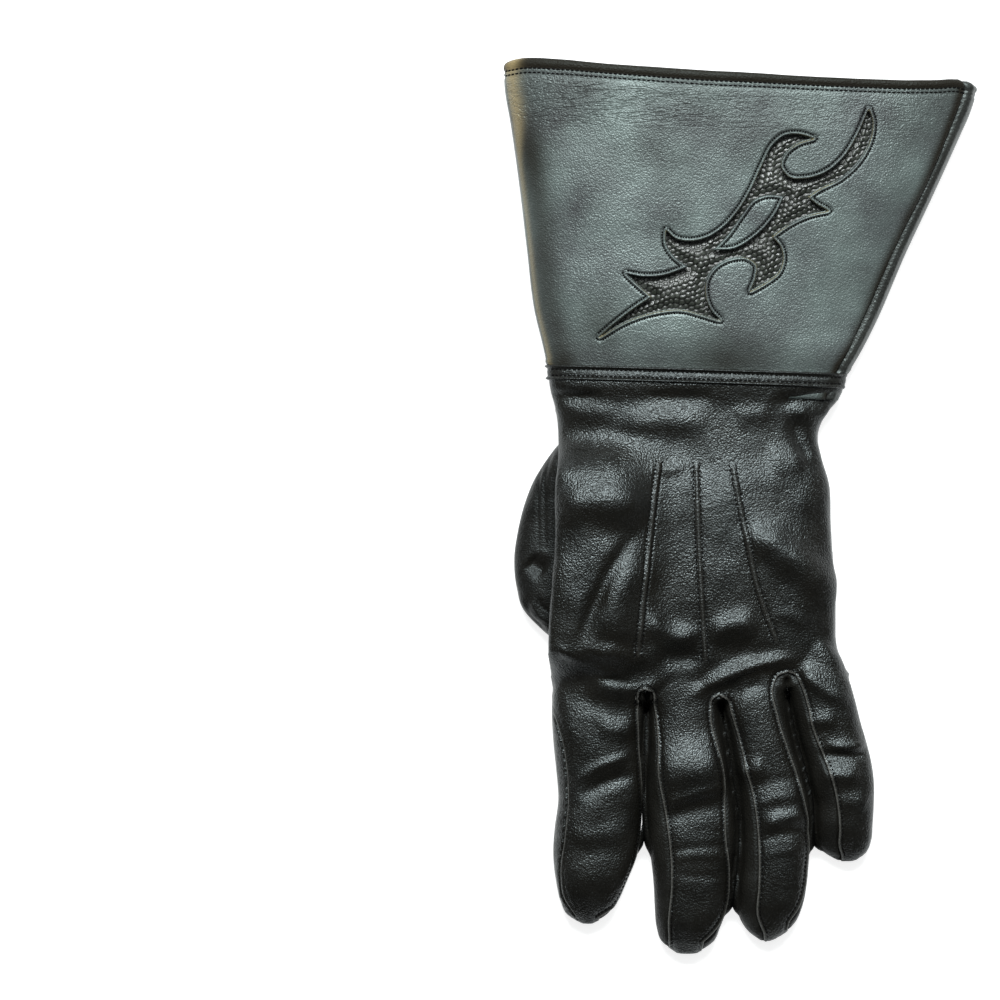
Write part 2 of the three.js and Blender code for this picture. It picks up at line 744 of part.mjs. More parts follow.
const cuffMiddle = mouthHeight * 0.35; // a height between the cuff's two sides
const cuffOutside = cuffSolid(0);
const handKeepOut = palmSolid(-clearance).subtract(palmSolid(slip, cuffTuck));
const cuffSkin = cuffOutside.subtract(cuffHollow()).subtract(handKeepOut);
const ornamentHole = prism(outlineOf(ornamentStretches), cuffMiddle, aboveAll);
const cuffBack = mainBody(cuffSkin.subtract(cuffPalmSide(clearance)).subtract(ornamentHole));
const cuffPalm = mainBody(cuffSkin.intersect(cuffPalmSide(0)));
const inlayTop = cuffLeather + clearance;
const inlay = mainBody(
  cuffSolid(inlayTop)
    .subtract(cuffSolid(inlayTop + inlayLeather))
    .intersect(prism(patchOutline(), cuffMiddle, aboveAll)),
);
const leaf = mainBody(
  cuffOutside
    .subtract(cuffSolid(cuffLeather))
    .intersect(prism(outlineOf(leafStretches), cuffMiddle, aboveAll)),
);

// Band: a folded strip round the wrist, over the edge of the hand
function bandRing(y, inset) {
  const section = palmSection(-y / palmLength);
  return sectionAt(section, inset, wideTopCount, wideUnderCount).map(({ x, z, crown }) => [
    x,
    y,
    z + foldAt(x, y) * crown,
  ]);
}

const bandEnds = [bandWidth / 2, 0, -bandWidth / 2];
const bandOutset = -clearance - bandThickness;
const bandEdge = bandThickness * 0.4; // by which its two edges are thinner
const bandOutside = loft(bandEnds.map((y, i) => bandRing(y, i === 1 ? bandOutset : bandOutset + bandEdge)));
const bandInside = loft([bandWidth, 0, -bandWidth].map((y) => bandRing(y, -clearance)));
const band = mainBody(bandOutside.subtract(bandInside));

// Materials
function leatherLook(color, roughness) {
  return new THREE.MeshStandardMaterial({ color, roughness, metalness: 0 });
}

const handLook = leatherLook(0x1d1e1e, 0.42);
const gussetLook = leatherLook(0x171818, 0.5);
const cuffLook = leatherLook(0x343a38, 0.5);
const cuffPalmLook = leatherLook(0x262a29, 0.5);
const inlayLook = leatherLook(0x2c2c26, 0.35);
const bandLook = leatherLook(0x151615, 0.45);

function meshOf(name, solid, material) {
  const { vertProperties, triVerts } = solid.getMesh();
  const geometry = new THREE.BufferGeometry();
  geometry.setAttribute("position", new THREE.BufferAttribute(new Float32Array(vertProperties), 3));
  geometry.setIndex(new THREE.BufferAttribute(new Uint32Array(triVerts), 1));
  geometry.computeVertexNormals();
  const mesh = new THREE.Mesh(geometry, material.clone());
  mesh.name = name;
  return mesh;
}

const glove = new THREE.Group();
glove.name = "gauntlet_glove";
glove.add(
  meshOf("hand_back", handBack, handLook),
  meshOf("hand_palm", handPalm, handLook),
  meshOf("thumb", thumb, handLook),
  meshOf("cuff_back", cuffBack, cuffLook),
  meshOf("cuff_palm", cuffPalm, cuffPalmLook),
  meshOf("cuff_inlay", inlay, inlayLook),
  meshOf("cuff_leaf", leaf, cuffLook),
  meshOf("wrist_band", band, bandLook),
);
fingerPairs.forEach(([a, b], i) => {
  glove.add(meshOf(`fourchette_${a.name}_${b.name}`, fourchettes[i], gussetLook));
});

// The origin is below the glove's middle, on the surface it lies on
const extent = new THREE.Box3().setFromObject(glove);
const centre = extent.getCenter(new THREE.Vector3());
glove.position.set(-centre.x, -centre.y, -extent.min.z);

export default glove;
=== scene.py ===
import math
import bpy
import numpy as np
from mathutils import Matrix, Vector
from mathutils.bvhtree import BVHTree


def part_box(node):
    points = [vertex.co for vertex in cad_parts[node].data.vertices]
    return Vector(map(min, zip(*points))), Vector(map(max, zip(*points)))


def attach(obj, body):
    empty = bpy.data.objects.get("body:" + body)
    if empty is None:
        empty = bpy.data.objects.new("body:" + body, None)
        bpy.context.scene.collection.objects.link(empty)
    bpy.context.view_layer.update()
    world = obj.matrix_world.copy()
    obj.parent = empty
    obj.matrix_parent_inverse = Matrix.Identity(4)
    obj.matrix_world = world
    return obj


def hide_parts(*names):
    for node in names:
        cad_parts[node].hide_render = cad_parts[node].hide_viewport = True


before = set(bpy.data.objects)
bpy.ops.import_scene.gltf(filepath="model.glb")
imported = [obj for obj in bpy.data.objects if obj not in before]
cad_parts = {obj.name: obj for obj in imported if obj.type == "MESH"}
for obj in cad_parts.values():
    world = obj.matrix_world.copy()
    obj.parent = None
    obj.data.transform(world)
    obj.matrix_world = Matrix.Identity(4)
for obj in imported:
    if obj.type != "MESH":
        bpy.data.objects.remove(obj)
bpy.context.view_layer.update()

# A leather gauntlet glove for the left hand, lying palm down.
# Shapes are worked out in millimetres: X to the little finger, Y from the fingertips to the mouth of the cuff
# with 0 at the wrist seam, Z up. toFrame() brings them to the frame, in metres.
bandLow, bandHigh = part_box("wrist_band")
shift = (bandLow + bandHigh) * 500 - Vector((-1.344, 0, 0))
shift.z = 0

# Lines and folds are placed on a drawing of the glove from above, 0.38 mm to a square
drawing = {"square": 0.38, "left": 700, "top": 376, "centre": 500, "distance": 1500, "plane": 9}


def drawn(places, height=9):
    # the drawing is seen from its centre, so higher places are drawn a little larger
    p = np.array(places, float)
    p = mix(drawing["centre"], p, 1 - (height - drawing["plane"]) / drawing["distance"])
    x = (p[..., 0] - drawing["left"]) * drawing["square"]
    y = (drawing["top"] - p[..., 1]) * drawing["square"]
    return np.stack([x, y], -1)


def mix(a, b, share):
    return a + (b - a) * share


def ease(start, end, value):
    share = np.clip((value - start) / (end - start), 0, 1)
    return share * share * (3 - 2 * share)


def bell(value, width):
    return np.exp(-(value / width) ** 2)


def smoothRows(rows):
    # the table's other columns at any place along the first, smooth between the rows
    rows = np.array(rows, float)
    t, p = rows[:, 0], rows[:, 1:]
    slope = np.gradient(p, t, axis=0)

    def at(place):
        place = np.clip(np.asarray(place, float), t[0], t[-1])
        i = np.clip(np.searchsorted(t, place) - 1, 0, len(t) - 2)
        step = (t[i + 1] - t[i])[..., None]
        u = (place[..., None] - t[i][..., None]) / step
        a, b = p[i], p[i + 1]
        bend = (1 - u) * slope[i] * step * u * (1 - u) - u * slope[i + 1] * step * u * (1 - u)
        return mix(a, b, u * u * (3 - 2 * u)) + bend

    return at


def noise(x, y, seed=0):
    # smooth noise from -1 to 1, one swell to each unit
    x, y = np.asarray(x, float), np.asarray(y, float)
    ix, iy = np.floor(x), np.floor(y)
    fx, fy = x - ix, y - iy
    total = 0
    for cx in (0, 1):
        for cy in (0, 1):
            turn = np.sin((ix + cx) * 127.1 + (iy + cy) * 311.7 + seed * 74.7) * 43758.5453
            turn = (turn - np.floor(turn)) * 2 * math.pi
            slope = np.cos(turn) * (fx - cx) + np.sin(turn) * (fy - cy)
            wx = 1 - np.abs(fx - cx)
            wy = 1 - np.abs(fy - cy)
            total = total + slope * wx * wx * (3 - 2 * wx) * wy * wy * (3 - 2 * wy)
    return total * 1.6


# Meshes as arrays: points with any number of columns, and triangles

def edgesOf(points, triangles):
    pairs = np.sort(triangles[:, [[0, 1], [1, 2], [2, 0]]], axis=2)
    keys = pairs[..., 0].astype(np.int64) * len(points) + pairs[..., 1]
    unique, where = np.unique(keys, return_inverse=True)
    return unique // len(points), unique % len(points), where.reshape(-1, 3)


def normalsOf(points, triangles):
    a, b, c = (points[triangles[:, i], :3] for i in range(3))
    face = np.cross(b - a, c - a)
    total = np.zeros((len(points), 3))
    for i in range(3):
        for k in range(3):
            total[:, k] += np.bincount(triangles[:, i], face[:, k], len(points))
    return total / np.maximum(np.linalg.norm(total, axis=1), 1e-9)[:, None]


def smoothed(points, triangles, rounds, firm=0.5, back=-0.53):
    a, b, _ = edgesOf(points, triangles)
    count = np.bincount(a, minlength=len(points)) + np.bincount(b, minlength=len(points))
    for i in range(rounds):
        for share in (firm, back):
            total = np.zeros_like(points)
            for k in range(points.shape[1]):
                total[:, k] = np.bincount(a, points[b, k], len(points)) + np.bincount(b, points[a, k], len(points))
            points = mix(points, total / np.maximum(count, 1)[:, None], share)
    return points


def turned(first, *values):
    # the three corners' columns, with each triangle started at its corner number first
    order = (first[:, None] + np.arange(3)) % 3
    return [np.take_along_axis(value, order, 1).T for value in values]


def faces(*corners):
    return np.stack(corners, 1)


def refined(points, triangles, near):
    # halves the edges whose two ends are both near
    a, b, where = edgesOf(points, triangles)
    marked = near[a] & near[b]
    index = np.full(len(a), -1)
    index[marked] = len(points) + np.arange(marked.sum())
    points = np.concatenate([points, (points[a[marked]] + points[b[marked]]) / 2])
    m = index[where]
    count = (m >= 0).sum(1)
    done = [triangles[count == 0]]
    one = count == 1
    (p0, p1, p2), (k0, _, _) = turned(np.argmax(m[one] >= 0, 1), triangles[one], m[one])
    done += [faces(p0, k0, p2), faces(k0, p1, p2)]
    two = count == 2
    (p0, p1, p2), (k0, k1, _) = turned((np.argmax(m[two] < 0, 1) + 1) % 3, triangles[two], m[two])
    done += [faces(k0, p1, k1), faces(p0, k0, k1), faces(p0, k1, p2)]
    (p0, p1, p2), (k0, k1, k2) = triangles[count == 3].T, m[count == 3].T
    done += [faces(p0, k0, k2), faces(k0, p1, k1), faces(k2, k1, p2), faces(k0, k1, k2)]
    return points, np.concatenate(done)


def clipped(points, triangles, value):
    # keeps the side where value is above 0, with a clean edge along 0
    points, value = points.copy(), value.astype(float).copy()
    a, b, _ = edgesOf(points, triangles)
    crossing = value[a] * value[b] < 0
    a, b = a[crossing], b[crossing]
    share = value[a] / (value[a] - value[b])
    for end, other, s in ((a, b, share), (b, a, 1 - share)):
        close = (s < 0.3) & (value[end] * value[other] < 0)
        picked, first = np.unique(end[close], return_index=True)
        to = other[close][first]
        part = s[close][first][:, None]
        fresh = value[picked] * value[to] < 0
        picked, to, part = picked[fresh], to[fresh], part[fresh]
        points[picked] = mix(points[picked], points[to], part)
        value[picked] = 0
    a, b, where = edgesOf(points, triangles)
    crossing = value[a] * value[b] < 0
    index = np.full(len(a), -1)
    index[crossing] = len(points) + np.arange(crossing.sum())
    share = (value[a] / np.where(crossing, value[a] - value[b], 1))[crossing][:, None]
    points = np.concatenate([points, mix(points[a[crossing]], points[b[crossing]], share)])
    cut = index[where]
    v = value[triangles]
    count = (cut >= 0).sum(1)
    done = [triangles[(count == 0) & (v.min(1) >= 0) & (v.max(1) > 0)]]
    two = count == 2
    first = (np.argmax(cut[two] < 0, 1) + 2) % 3
    (p0, p1, p2), (k0, _, k2), (w, _, _) = turned(first, triangles[two], cut[two], v[two])
    alone = w > 0
    done += [faces(p0, k0, k2)[alone], faces(k0, p1, p2)[~alone], faces(k0, p2, k2)[~alone]]
    one = count == 1
    first = (np.argmax(cut[one] >= 0, 1) + 2) % 3
    (p0, p1, p2), (_, k1, _), (_, w, _) = turned(first, triangles[one], cut[one], v[one])
    ahead = w > 0
    done += [faces(p0, p1, k1)[ahead], faces(p0, k1, p2)[~ahead]]
    return packed(points, np.concatenate(done))


def packed(points, triangles):
    used, where = np.unique(triangles, return_inverse=True)
    triangles = where.reshape(-1, 3)
    good = (triangles[:, 0] != triangles[:, 1]) & (triangles[:, 1] != triangles[:, 2]) \
        & (triangles[:, 2] != triangles[:, 0])
    return points[used], triangles[good]


def largestPart(points, triangles):
    # drops the crumbs beside the main sheet
    label = np.arange(len(points))
    a, b, _ = edgesOf(points, triangles)
    while True:
        low = np.minimum(label[a], label[b])
        before = label.copy()
        np.minimum.at(label, a, low)
        np.minimum.at(label, b, low)
        label = label[label]
        if (label == before).all():
            break
    main = np.bincount(label[triangles[:, 0]]).argmax()
    return packed(points, triangles[label[triangles[:, 0]] == main])


def walled(points, triangles, thickness, normals=None):
    # a sheet's outside made a wall with an inside
    count = len(points)
    normals = normalsOf(points, triangles) if normals is None else normals
    inside = points.copy()
    inside[:, :3] -= normals * np.broadcast_to(thickness, count)[:, None]
    pairs = triangles[:, [[0, 1], [1, 2], [2, 0]]].reshape(-1, 2)
    keys = pairs[:, 0].astype(np.int64) * count + pairs[:, 1]
    back = pairs[:, 1].astype(np.int64) * count + pairs[:, 0]
    a, b = pairs[~np.isin(keys, back)].T
    sides = [faces(b, a, a + count), faces(b, a + count, b + count)]
    return np.concatenate([points, inside]), np.concatenate([triangles, triangles[:, ::-1] + count, *sides])


def joined(shells):
    starts = np.cumsum([0] + [len(points) for points, _ in shells])
    return (np.concatenate([points[:, :3] for points, _ in shells]),
            np.concatenate([triangles + start for start, (_, triangles) in zip(starts, shells)]))


def gridTriangles(rows, columns, closed=False):
    # triangles over a grid of points, row by row
    r = np.arange(rows - 1)[:, None]
    c = np.arange(columns if closed else columns - 1)[None]
    a = r * columns + c
    b = r * columns + (c + 1) % columns
    return np.stack([np.stack([a, b, b + columns], -1), np.stack([a, b + columns, a + columns], -1)], 2).reshape(-1, 3)


def toFrame(points):
    return (points[:, :3] + np.array(shift)) / 1000


def newObject(name, points, triangles):
    mesh = bpy.data.meshes.new(name)
    mesh.vertices.add(len(points))
    mesh.vertices.foreach_set("co", np.ascontiguousarray(points[:, :3], np.float32).ravel())
    mesh.loops.add(len(triangles) * 3)
    mesh.loops.foreach_set("vertex_index", np.ascontiguousarray(triangles, np.int32).ravel())
    mesh.polygons.add(len(triangles))
    mesh.polygons.foreach_set("loop_start", np.arange(0, len(triangles) * 3, 3, dtype=np.int32))
    mesh.update(calc_edges=True)
    mesh.validate()
    thing = bpy.data.objects.new(name, mesh)
    bpy.context.scene.collection.objects.link(thing)
    return thing


def piece(name, points, triangles, material, slot, nodes=(), marks=None):
    thing = newObject(name, toFrame(points), triangles)
    thing.data.polygons.foreach_set("use_smooth", np.ones(len(thing.data.polygons), bool))
    for mark, values in (marks or {}).items():
        attribute = thing.data.attributes.new(mark, "FLOAT", "POINT")
        attribute.data.foreach_set("value", np.tile(values, 2).astype(np.float32))  # outside and inside
    thing.data.materials.append(material)
    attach(thing, "root")
    if nodes:
        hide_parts(*nodes)
    print(name, len(triangles), "triangles")
    return thing


def remeshed(points, triangles, size):
    # one even skin over overlapping closed shells
    source = newObject("shells", points, triangles)
    remesh = source.modifiers.new("remesh", "REMESH")
    remesh.mode = "VOXEL"
    remesh.voxel_size = size
    skin = bpy.data.meshes.new_from_object(source.evaluated_get(bpy.context.evaluated_depsgraph_get()))
    skin.calc_loop_triangles()
    points = np.empty(len(skin.vertices) * 3, np.float32)
    skin.vertices.foreach_get("co", points)
    triangles = np.empty(len(skin.loop_triangles) * 3, np.int32)
    skin.loop_triangles.foreach_get("vertices", triangles)
    bpy.data.objects.remove(source)
    bpy.data.meshes.remove(skin)
    return points.reshape(-1, 3).astype(float), triangles.reshape(-1, 3).astype(int)


# Lines on the leather

def curveThrough(knots, step=0.5):
    # a smooth line through the knots, with a point every step
    knots = np.array(knots, float)
    length = np.concatenate([[0], np.cumsum(np.linalg.norm(np.diff(knots, axis=0), axis=1))])
    if len(knots) == 2:
        at = np.linspace(0, 1, max(2, int(length[-1] / step)))[:, None]
        return mix(knots[0], knots[1], at)
    count = max(len(knots) * 2, int(length[-1] / step))
    return smoothRows(np.column_stack([length, knots]))(np.linspace(0, length[-1], count))


def nearLine(places, line, closed=False):
    # each place's distance from the line, how far along it that is, and on which side: left is above 0
    ends = np.roll(line, -1, 0) if closed else line[1:]
    starts = line if closed else line[:-1]
    best = np.full(len(places), 1e9)
    along = np.zeros(len(places))
    side = np.ones(len(places))
    gone = 0
    for start, end in zip(starts, ends):
        way = end - start
        length = math.hypot(*way)
        if length == 0:
            continue
        dx, dy = places[:, 0] - start[0], places[:, 1] - start[1]
        share = np.clip((dx * way[0] + dy * way[1]) / length ** 2, 0, 1)
        ox, oy = dx - way[0] * share, dy - way[1] * share
        distance = np.hypot(ox, oy)
        nearer = distance < best
        best = np.where(nearer, distance, best)
        along = np.where(nearer, gone + share * length, along)
        side = np.where(nearer, np.sign(way[0] * dy - way[1] * dx), side)
        gone += length
    return best, along, side


def insideOf(places, outline):
    x, y = places[:, 0], places[:, 1]
    inside = np.zeros(len(places), bool)
    for (ax, ay), (bx, by) in zip(outline, np.roll(outline, -1, 0)):
        if ay == by:
            continue
        inside ^= ((ay > y) != (by > y)) & (x < (bx - ax) * (y - ay) / (by - ay) + ax)
    return inside


def depthIn(places, outline):
    # distance from a closed outline, above 0 inside it
    distance, along, _ = nearLine(places, outline, True)
    return np.where(insideOf(places, outline), distance, -distance), along


# The glove's sections, the same as its solids have

glove = {
    "palmLength": 119, "palmWidth": 112, "palmHeight": 21, "rootSetback": 9, "fingerHeight": 17,
    "thumbLength": 78, "thumbWidth": 34, "thumbHeight": 14,
    "cuffLength": 121, "cuffSlant": 11, "mouthWidth": 179, "mouthHeight": 30, "hem": 6.5,
    "belt": 0.42, "press": 1.35, "roundness": 2.5,
}

# along, left, right, base, top, as shares of the palm's length, width and height
palmRows = [
    [-0.05, -0.518, 0.502, 0.1, 0.93], [-0.015, -0.516, 0.498, 0.1, 0.94], [0.03, -0.512, 0.49, 0.1, 0.965],
    [0.055, -0.507, 0.483, 0.09, 0.935], [0.085, -0.497, 0.468, 0.03, 0.895], [0.12, -0.489, 0.437, 0, 0.885],
    [0.195, -0.482, 0.402, 0, 0.895], [0.275, -0.486, 0.414, 0, 0.925], [0.36, -0.495, 0.438, 0, 0.99],
    [0.5, -0.495, 0.445, 0, 1], [0.63, -0.502, 0.452, 0, 1], [0.745, -0.512, 0.46, 0, 0.975],
    [0.84, -0.518, 0.462, 0, 0.93], [0.9, -0.516, 0.463, 0, 0.89], [0.95, -0.508, 0.473, 0, 0.835],
    [1, -0.5, 0.487, 0, 0.755], [1.045, -0.48, 0.49, 0.03, 0.67],
    [1.06, -0.42, 0.42, 0.06, 0.45], [1.1, -0.36, 0.36, 0.1, 0.33],
]

# along, left, right, base, top, as shares of the finger's length, width and height
fingers = {
    "index": {"root": -0.344, "width": 0.3155, "length": 89.5, "rows": [
        [-0.12, -0.42, 0.42, 0.02, 0.95], [-0.03, -0.48, 0.47, 0, 1], [0.04, -0.5, 0.5, 0, 1.02],
        [0.215, -0.49, 0.495, 0, 1.02], [0.35, -0.455, 0.48, 0, 0.97], [0.475, -0.435, 0.473, 0, 0.965],
        [0.58, -0.47, 0.46, 0, 0.94], [0.69, -0.49, 0.43, 0, 0.91], [0.82, -0.457, 0.306, 0, 0.85],
        [0.91, -0.403, 0.2, 0.03, 0.7], [0.965, -0.328, 0.09, 0.1, 0.54], [1, -0.18, -0.05, 0.22, 0.4]]},
    "middle": {"root": -0.056, "width": 0.305, "length": 101, "rows": [
        [-0.12, -0.34, 0.34, 0.02, 0.97], [-0.03, -0.38, 0.37, 0, 1.02], [0.04, -0.394, 0.394, 0, 1.04],
        [0.19, -0.411, 0.472, 0, 1.05], [0.345, -0.428, 0.539, 0, 1.01], [0.46, -0.43, 0.594, 0, 1],
        [0.555, -0.4, 0.606, 0, 0.98], [0.65, -0.361, 0.583, 0, 0.95], [0.745, -0.333, 0.55, 0, 0.91],
        [0.825, -0.322, 0.5, 0, 0.85], [0.9, -0.3, 0.417, 0.02, 0.76], [0.96, -0.228, 0.33, 0.09, 0.58],
        [1, -0.06, 0.15, 0.22, 0.4]]},
    "ring": {"root": 0.185, "width": 0.2477, "length": 98.5, "rows": [
        [-0.12, -0.38, 0.36, 0.02, 0.95], [-0.03, -0.42, 0.4, 0, 1], [0.067, -0.445, 0.445, 0, 1.02],
        [0.184, -0.384, 0.534, 0, 1.02], [0.34, -0.295, 0.678, 0, 0.99], [0.46, -0.219, 0.774, 0, 0.99],
        [0.576, -0.192, 0.78, 0, 0.96], [0.694, -0.212, 0.76, 0, 0.92], [0.79, -0.247, 0.726, 0, 0.87],
        [0.87, -0.24, 0.664, 0.02, 0.8], [0.93, -0.171, 0.568, 0.06, 0.66], [0.97, -0.062, 0.43, 0.12, 0.54],
        [1, 0.09, 0.25, 0.22, 0.4]]},
    "little": {"root": 0.404, "width": 0.2307, "length": 72.5, "rows": [
        [-0.16, -0.4, 0.2, 0.02, 0.88], [-0.04, -0.44, 0.37, 0, 0.94], [0.053, -0.456, 0.456, 0, 0.96],
        [0.16, -0.426, 0.544, 0, 0.94], [0.266, -0.375, 0.618, 0, 0.93], [0.372, -0.309, 0.706, 0, 0.91],
        [0.479, -0.213, 0.779, 0, 0.9], [0.585, -0.147, 0.816, 0, 0.9], [0.69, -0.074, 0.816, 0, 0.86],
        [0.798, -0.059, 0.8, 0, 0.8], [0.904, -0.01, 0.77, 0.05, 0.66], [0.957, 0.088, 0.7, 0.11, 0.54],
        [1, 0.3, 0.54, 0.22, 0.4]]},
}

# along, left, right, base, top, as shares of the thumb's length, width and height
thumbRows = [
    [-0.058, 0.156, 0.46, 0.43, 0.93], [0.01, -0.01, 0.489, 0.21, 1.14], [0.087, -0.144, 0.511, 0.07, 1.2],
    [0.175, -0.267, 0.522, 0, 1.14], [0.27, -0.356, 0.511, 0, 1.07], [0.417, -0.444, 0.489, 0, 1],
    [0.563, -0.489, 0.467, 0, 1], [0.709, -0.456, 0.467, 0, 0.97], [0.806, -0.389, 0.467, 0, 0.93],
    [0.893, -0.211, 0.456, 0.04, 0.86], [0.961, -0.022, 0.4, 0.11, 0.79], [1, 0.11, 0.3, 0.29, 0.57],
]
thumbRoot = {"x": -0.482, "along": 0.217}
rideUp = {"start": 0.17, "full": 0.325, "over": 0.865, "end": 0.985, "inner": -0.315, "outer": -0.09,
          "raised": 1.05, "top": 0.55}

# along, left, right, base, top, as shares of the cuff's length and the mouth's width and height
cuffRows = [
    [0.036, -0.3265, 0.316, 0.05, 0.6], [0.055, -0.328, 0.323, 0.05, 0.62], [0.09, -0.333, 0.338, 0.04, 0.65],
    [0.2, -0.351, 0.38, 0, 0.71], [0.4, -0.368, 0.437, 0, 0.8],
    [0.6, -0.384, 0.495, 0, 0.88], [0.8, -0.4026, 0.55, 0, 0.96], [0.92, -0.4155, 0.577, 0, 0.99],
    [0.965, -0.4165, 0.5835, 0, 1], [0.987, -0.413, 0.581, 0, 1], [1, -0.4, 0.568, 0, 0.985],
]
palmAt = smoothRows(palmRows)


def sizes(width, height):
    # what the shares left, right, base and top are shares of
    return np.array([glove[width]] * 2 + [glove[height]] * 2)


def palmSections(y):
    return palmAt(-np.asarray(y, float) / glove["palmLength"]) * sizes("palmWidth", "palmHeight")


def sectionRing(left, right, base, top, q):
    # places round a section: q from 0 to 1 goes over the top from right to left, and from 1 to 2 back below
    turn = q % 2
    over = turn <= 1
    turn = np.where(over, turn, 2 - turn)
    share = mix(1 - 2 * turn, np.cos(math.pi * turn), 0.6)
    swell = (1 - np.minimum(1, np.abs(share)) ** glove["roundness"]) ** (1 / glove["roundness"])
    belt = mix(base, top, glove["belt"])
    upper = belt + (top - belt) * swell
    lower = np.maximum(base, belt - (belt - base) * glove["press"] * swell)
    x = (left + right) / 2 + (right - left) / 2 * share
    return x, np.where(over, upper, lower), np.where(over, swell, 0)


def rise(x, y):
    along, across = -y / glove["palmLength"], x / glove["palmWidth"]
    share = ease(rideUp["start"], rideUp["full"], along) * (1 - ease(rideUp["over"], rideUp["end"], along)) \
        * (1 - ease(rideUp["inner"], rideUp["outer"], across))
    return rideUp["raised"] * glove["thumbHeight"] * share


def knuckleShare(x):
    return np.maximum(0, (x / glove["palmWidth"] - 0.06) / 0.46)


def closedLoft(rings):
    # rings follow each other towards -Y, each from right over the top to left and back below
    rows, columns = rings.shape[:2]
    points = rings.reshape(-1, 3)
    triangles = gridTriangles(rows, columns, True)
    first, last = len(points), len(points) + 1
    c = np.arange(columns)
    n = (c + 1) % columns
    end = (rows - 1) * columns
    caps = [faces(np.full(columns, first), n, c), faces(np.full(columns, last), end + c, end + n)]
    points = np.concatenate([points, rings[0].mean(0)[None], rings[-1].mean(0)[None]])
    return points, np.concatenate([triangles, *caps])


# Hand: palm and fingers are joined with the fingers set apart, and closed up again afterwards
hand = {"skin": 1.12, "gap": 2.6, "fade": 18, "wall": 0.9, "ringPoints": 120, "wristEnd": 1.6}
order = ["index", "middle", "ring", "little"]


def fingerSections(finger, y):
    root = finger["root"] * glove["palmWidth"]
    width = finger["width"] * glove["palmWidth"]
    start = -glove["palmLength"] + glove["rootSetback"] * knuckleShare(root)
    s = smoothRows(finger["rows"])((start - y) / finger["length"])
    left, right = root + s[..., 0] * width, root + s[..., 1] * width
    return left, right, s[..., 2] * glove["fingerHeight"], s[..., 3] * glove["fingerHeight"]


def slotAt(number, y):
    # x of the line between two fingers
    a, b = fingers[order[number]], fingers[order[number + 1]]
    right, left = fingerSections(a, y)[1], fingerSections(b, y)[0]
    return (right + left) / 2


crotches = drawn([(648, 694), (719, 702), (787, 684)])


def spreadWidths(number, y):
    crotch = crotches[number][1]
    opened = 1 - ease(crotch, crotch + hand["fade"], y)
    ramp = mix(0.1, 11, ease(crotch - 1, crotch + hand["fade"], y))
    return opened * hand["gap"], ramp


def spread(x, y):
    total = 0
    for number in range(3):
        gap, ramp = spreadWidths(number, y)
        total = total + gap * np.clip((x - slotAt(number, y)) / (2 * ramp), -0.5, 0.5)
    return x + total


def closedUp(x, y):
    total = 0
    for number in range(3):
        gap, ramp = spreadWidths(number, y)
        others = [spreadWidths(k, y)[0] for k in range(3)]
        moved = sum(others[k] * (0.5 if k < number else -0.5) for k in range(3) if k != number)
        total = total + gap * np.clip((x - slotAt(number, y) - moved) / (2 * ramp + gap), -0.5, 0.5)
    return x - total


def handShells():
    q = np.linspace(0, 2, hand["ringPoints"], endpoint=False)[None]
    shells = []
    along = np.linspace(-0.045, palmRows[-1][0], 94)
    s = palmSections(-along * glove["palmLength"])[:, :, None]
    x, z, crown = sectionRing(s[:, 0], s[:, 1], s[:, 2], s[:, 3], q)
    y = (-along * glove["palmLength"])[:, None] \
        + (glove["rootSetback"] * np.maximum(along, 0))[:, None] * knuckleShare(x)
    z = z + rise(x, y) * mix(1, rideUp["top"], crown)
    shells.append(closedLoft(np.stack([spread(x, y), y, z], -1)))
    for number, name in enumerate(order):
        finger = fingers[name]
        start = -glove["palmLength"] + glove["rootSetback"] * knuckleShare(finger["root"] * glove["palmWidth"])
        along = np.linspace(finger["rows"][0][0], 1, 70)
        y = start - along * finger["length"]
        left, right, base, top = (v[:, None] for v in fingerSections(finger, y))
        x, z, crown = sectionRing(left, right, base, top, q)
        y = y[:, None] + 0 * x
        z = z + rise(x, y) * mix(1, rideUp["top"], crown)
        moved = sum(spreadWidths(k, y)[0] * (0.5 if k < number else -0.5) for k in range(3))
        shells.append(closedLoft(np.stack([x + moved, y, z], -1)))
    return joined(shells)


# Seams of the back, from the drawing: each slot's outline from its round head down to the two fingertips
slotLines = {
    "index_middle": {
        "left": [(644, 686), (640, 690), (638.5, 700), (640, 740), (642, 780), (644, 817), (640, 848), (630, 880),
                 (616, 906), (600, 918)],
        "right": [(644, 686), (650, 690), (653, 709), (657, 745), (659, 778), (664, 812), (668, 842), (670, 881),
                  (667, 927), (668, 944)]},
    "middle_ring": {
        "left": [(718, 695), (712, 699), (711, 709), (717, 747), (724, 787), (726, 835), (731, 880), (728, 905),
                 (714, 932), (704, 942)],
        "right": [(718, 695), (726, 700), (730, 713), (738, 744), (747, 778), (754, 812), (757, 850), (757, 885),
                  (756, 915), (763, 933)]},
    "ring_little": {
        "left": [(787, 672), (777, 676), (773, 686), (778, 716), (789, 750), (798, 776), (806, 806), (809, 835),
                 (808, 870), (800, 905), (790, 922)],
        "right": [(787, 672), (794, 675), (799, 684), (806, 706), (812, 732), (820, 752), (828, 772), (835, 801),
                  (838, 830), (838, 847), (841, 856)]},
}
slotOutlines = {}
for name, sides in slotLines.items():
    left, right = curveThrough(drawn(sides["left"]), 1), curveThrough(drawn(sides["right"]), 1)
    below = np.array([left[-1] + [-2, -12], right[-1] + [2, -12]])
    slotOutlines[name] = {"left": left, "right": right,
                          "outline": np.concatenate([left, below, right[::-1][:-1]])}

indexSeam = curveThrough(drawn([(540, 690), (552, 712), (560, 735), (565, 765), (567, 800), (564, 835), (560, 868),
                                (564, 898), (575, 917)]), 1)
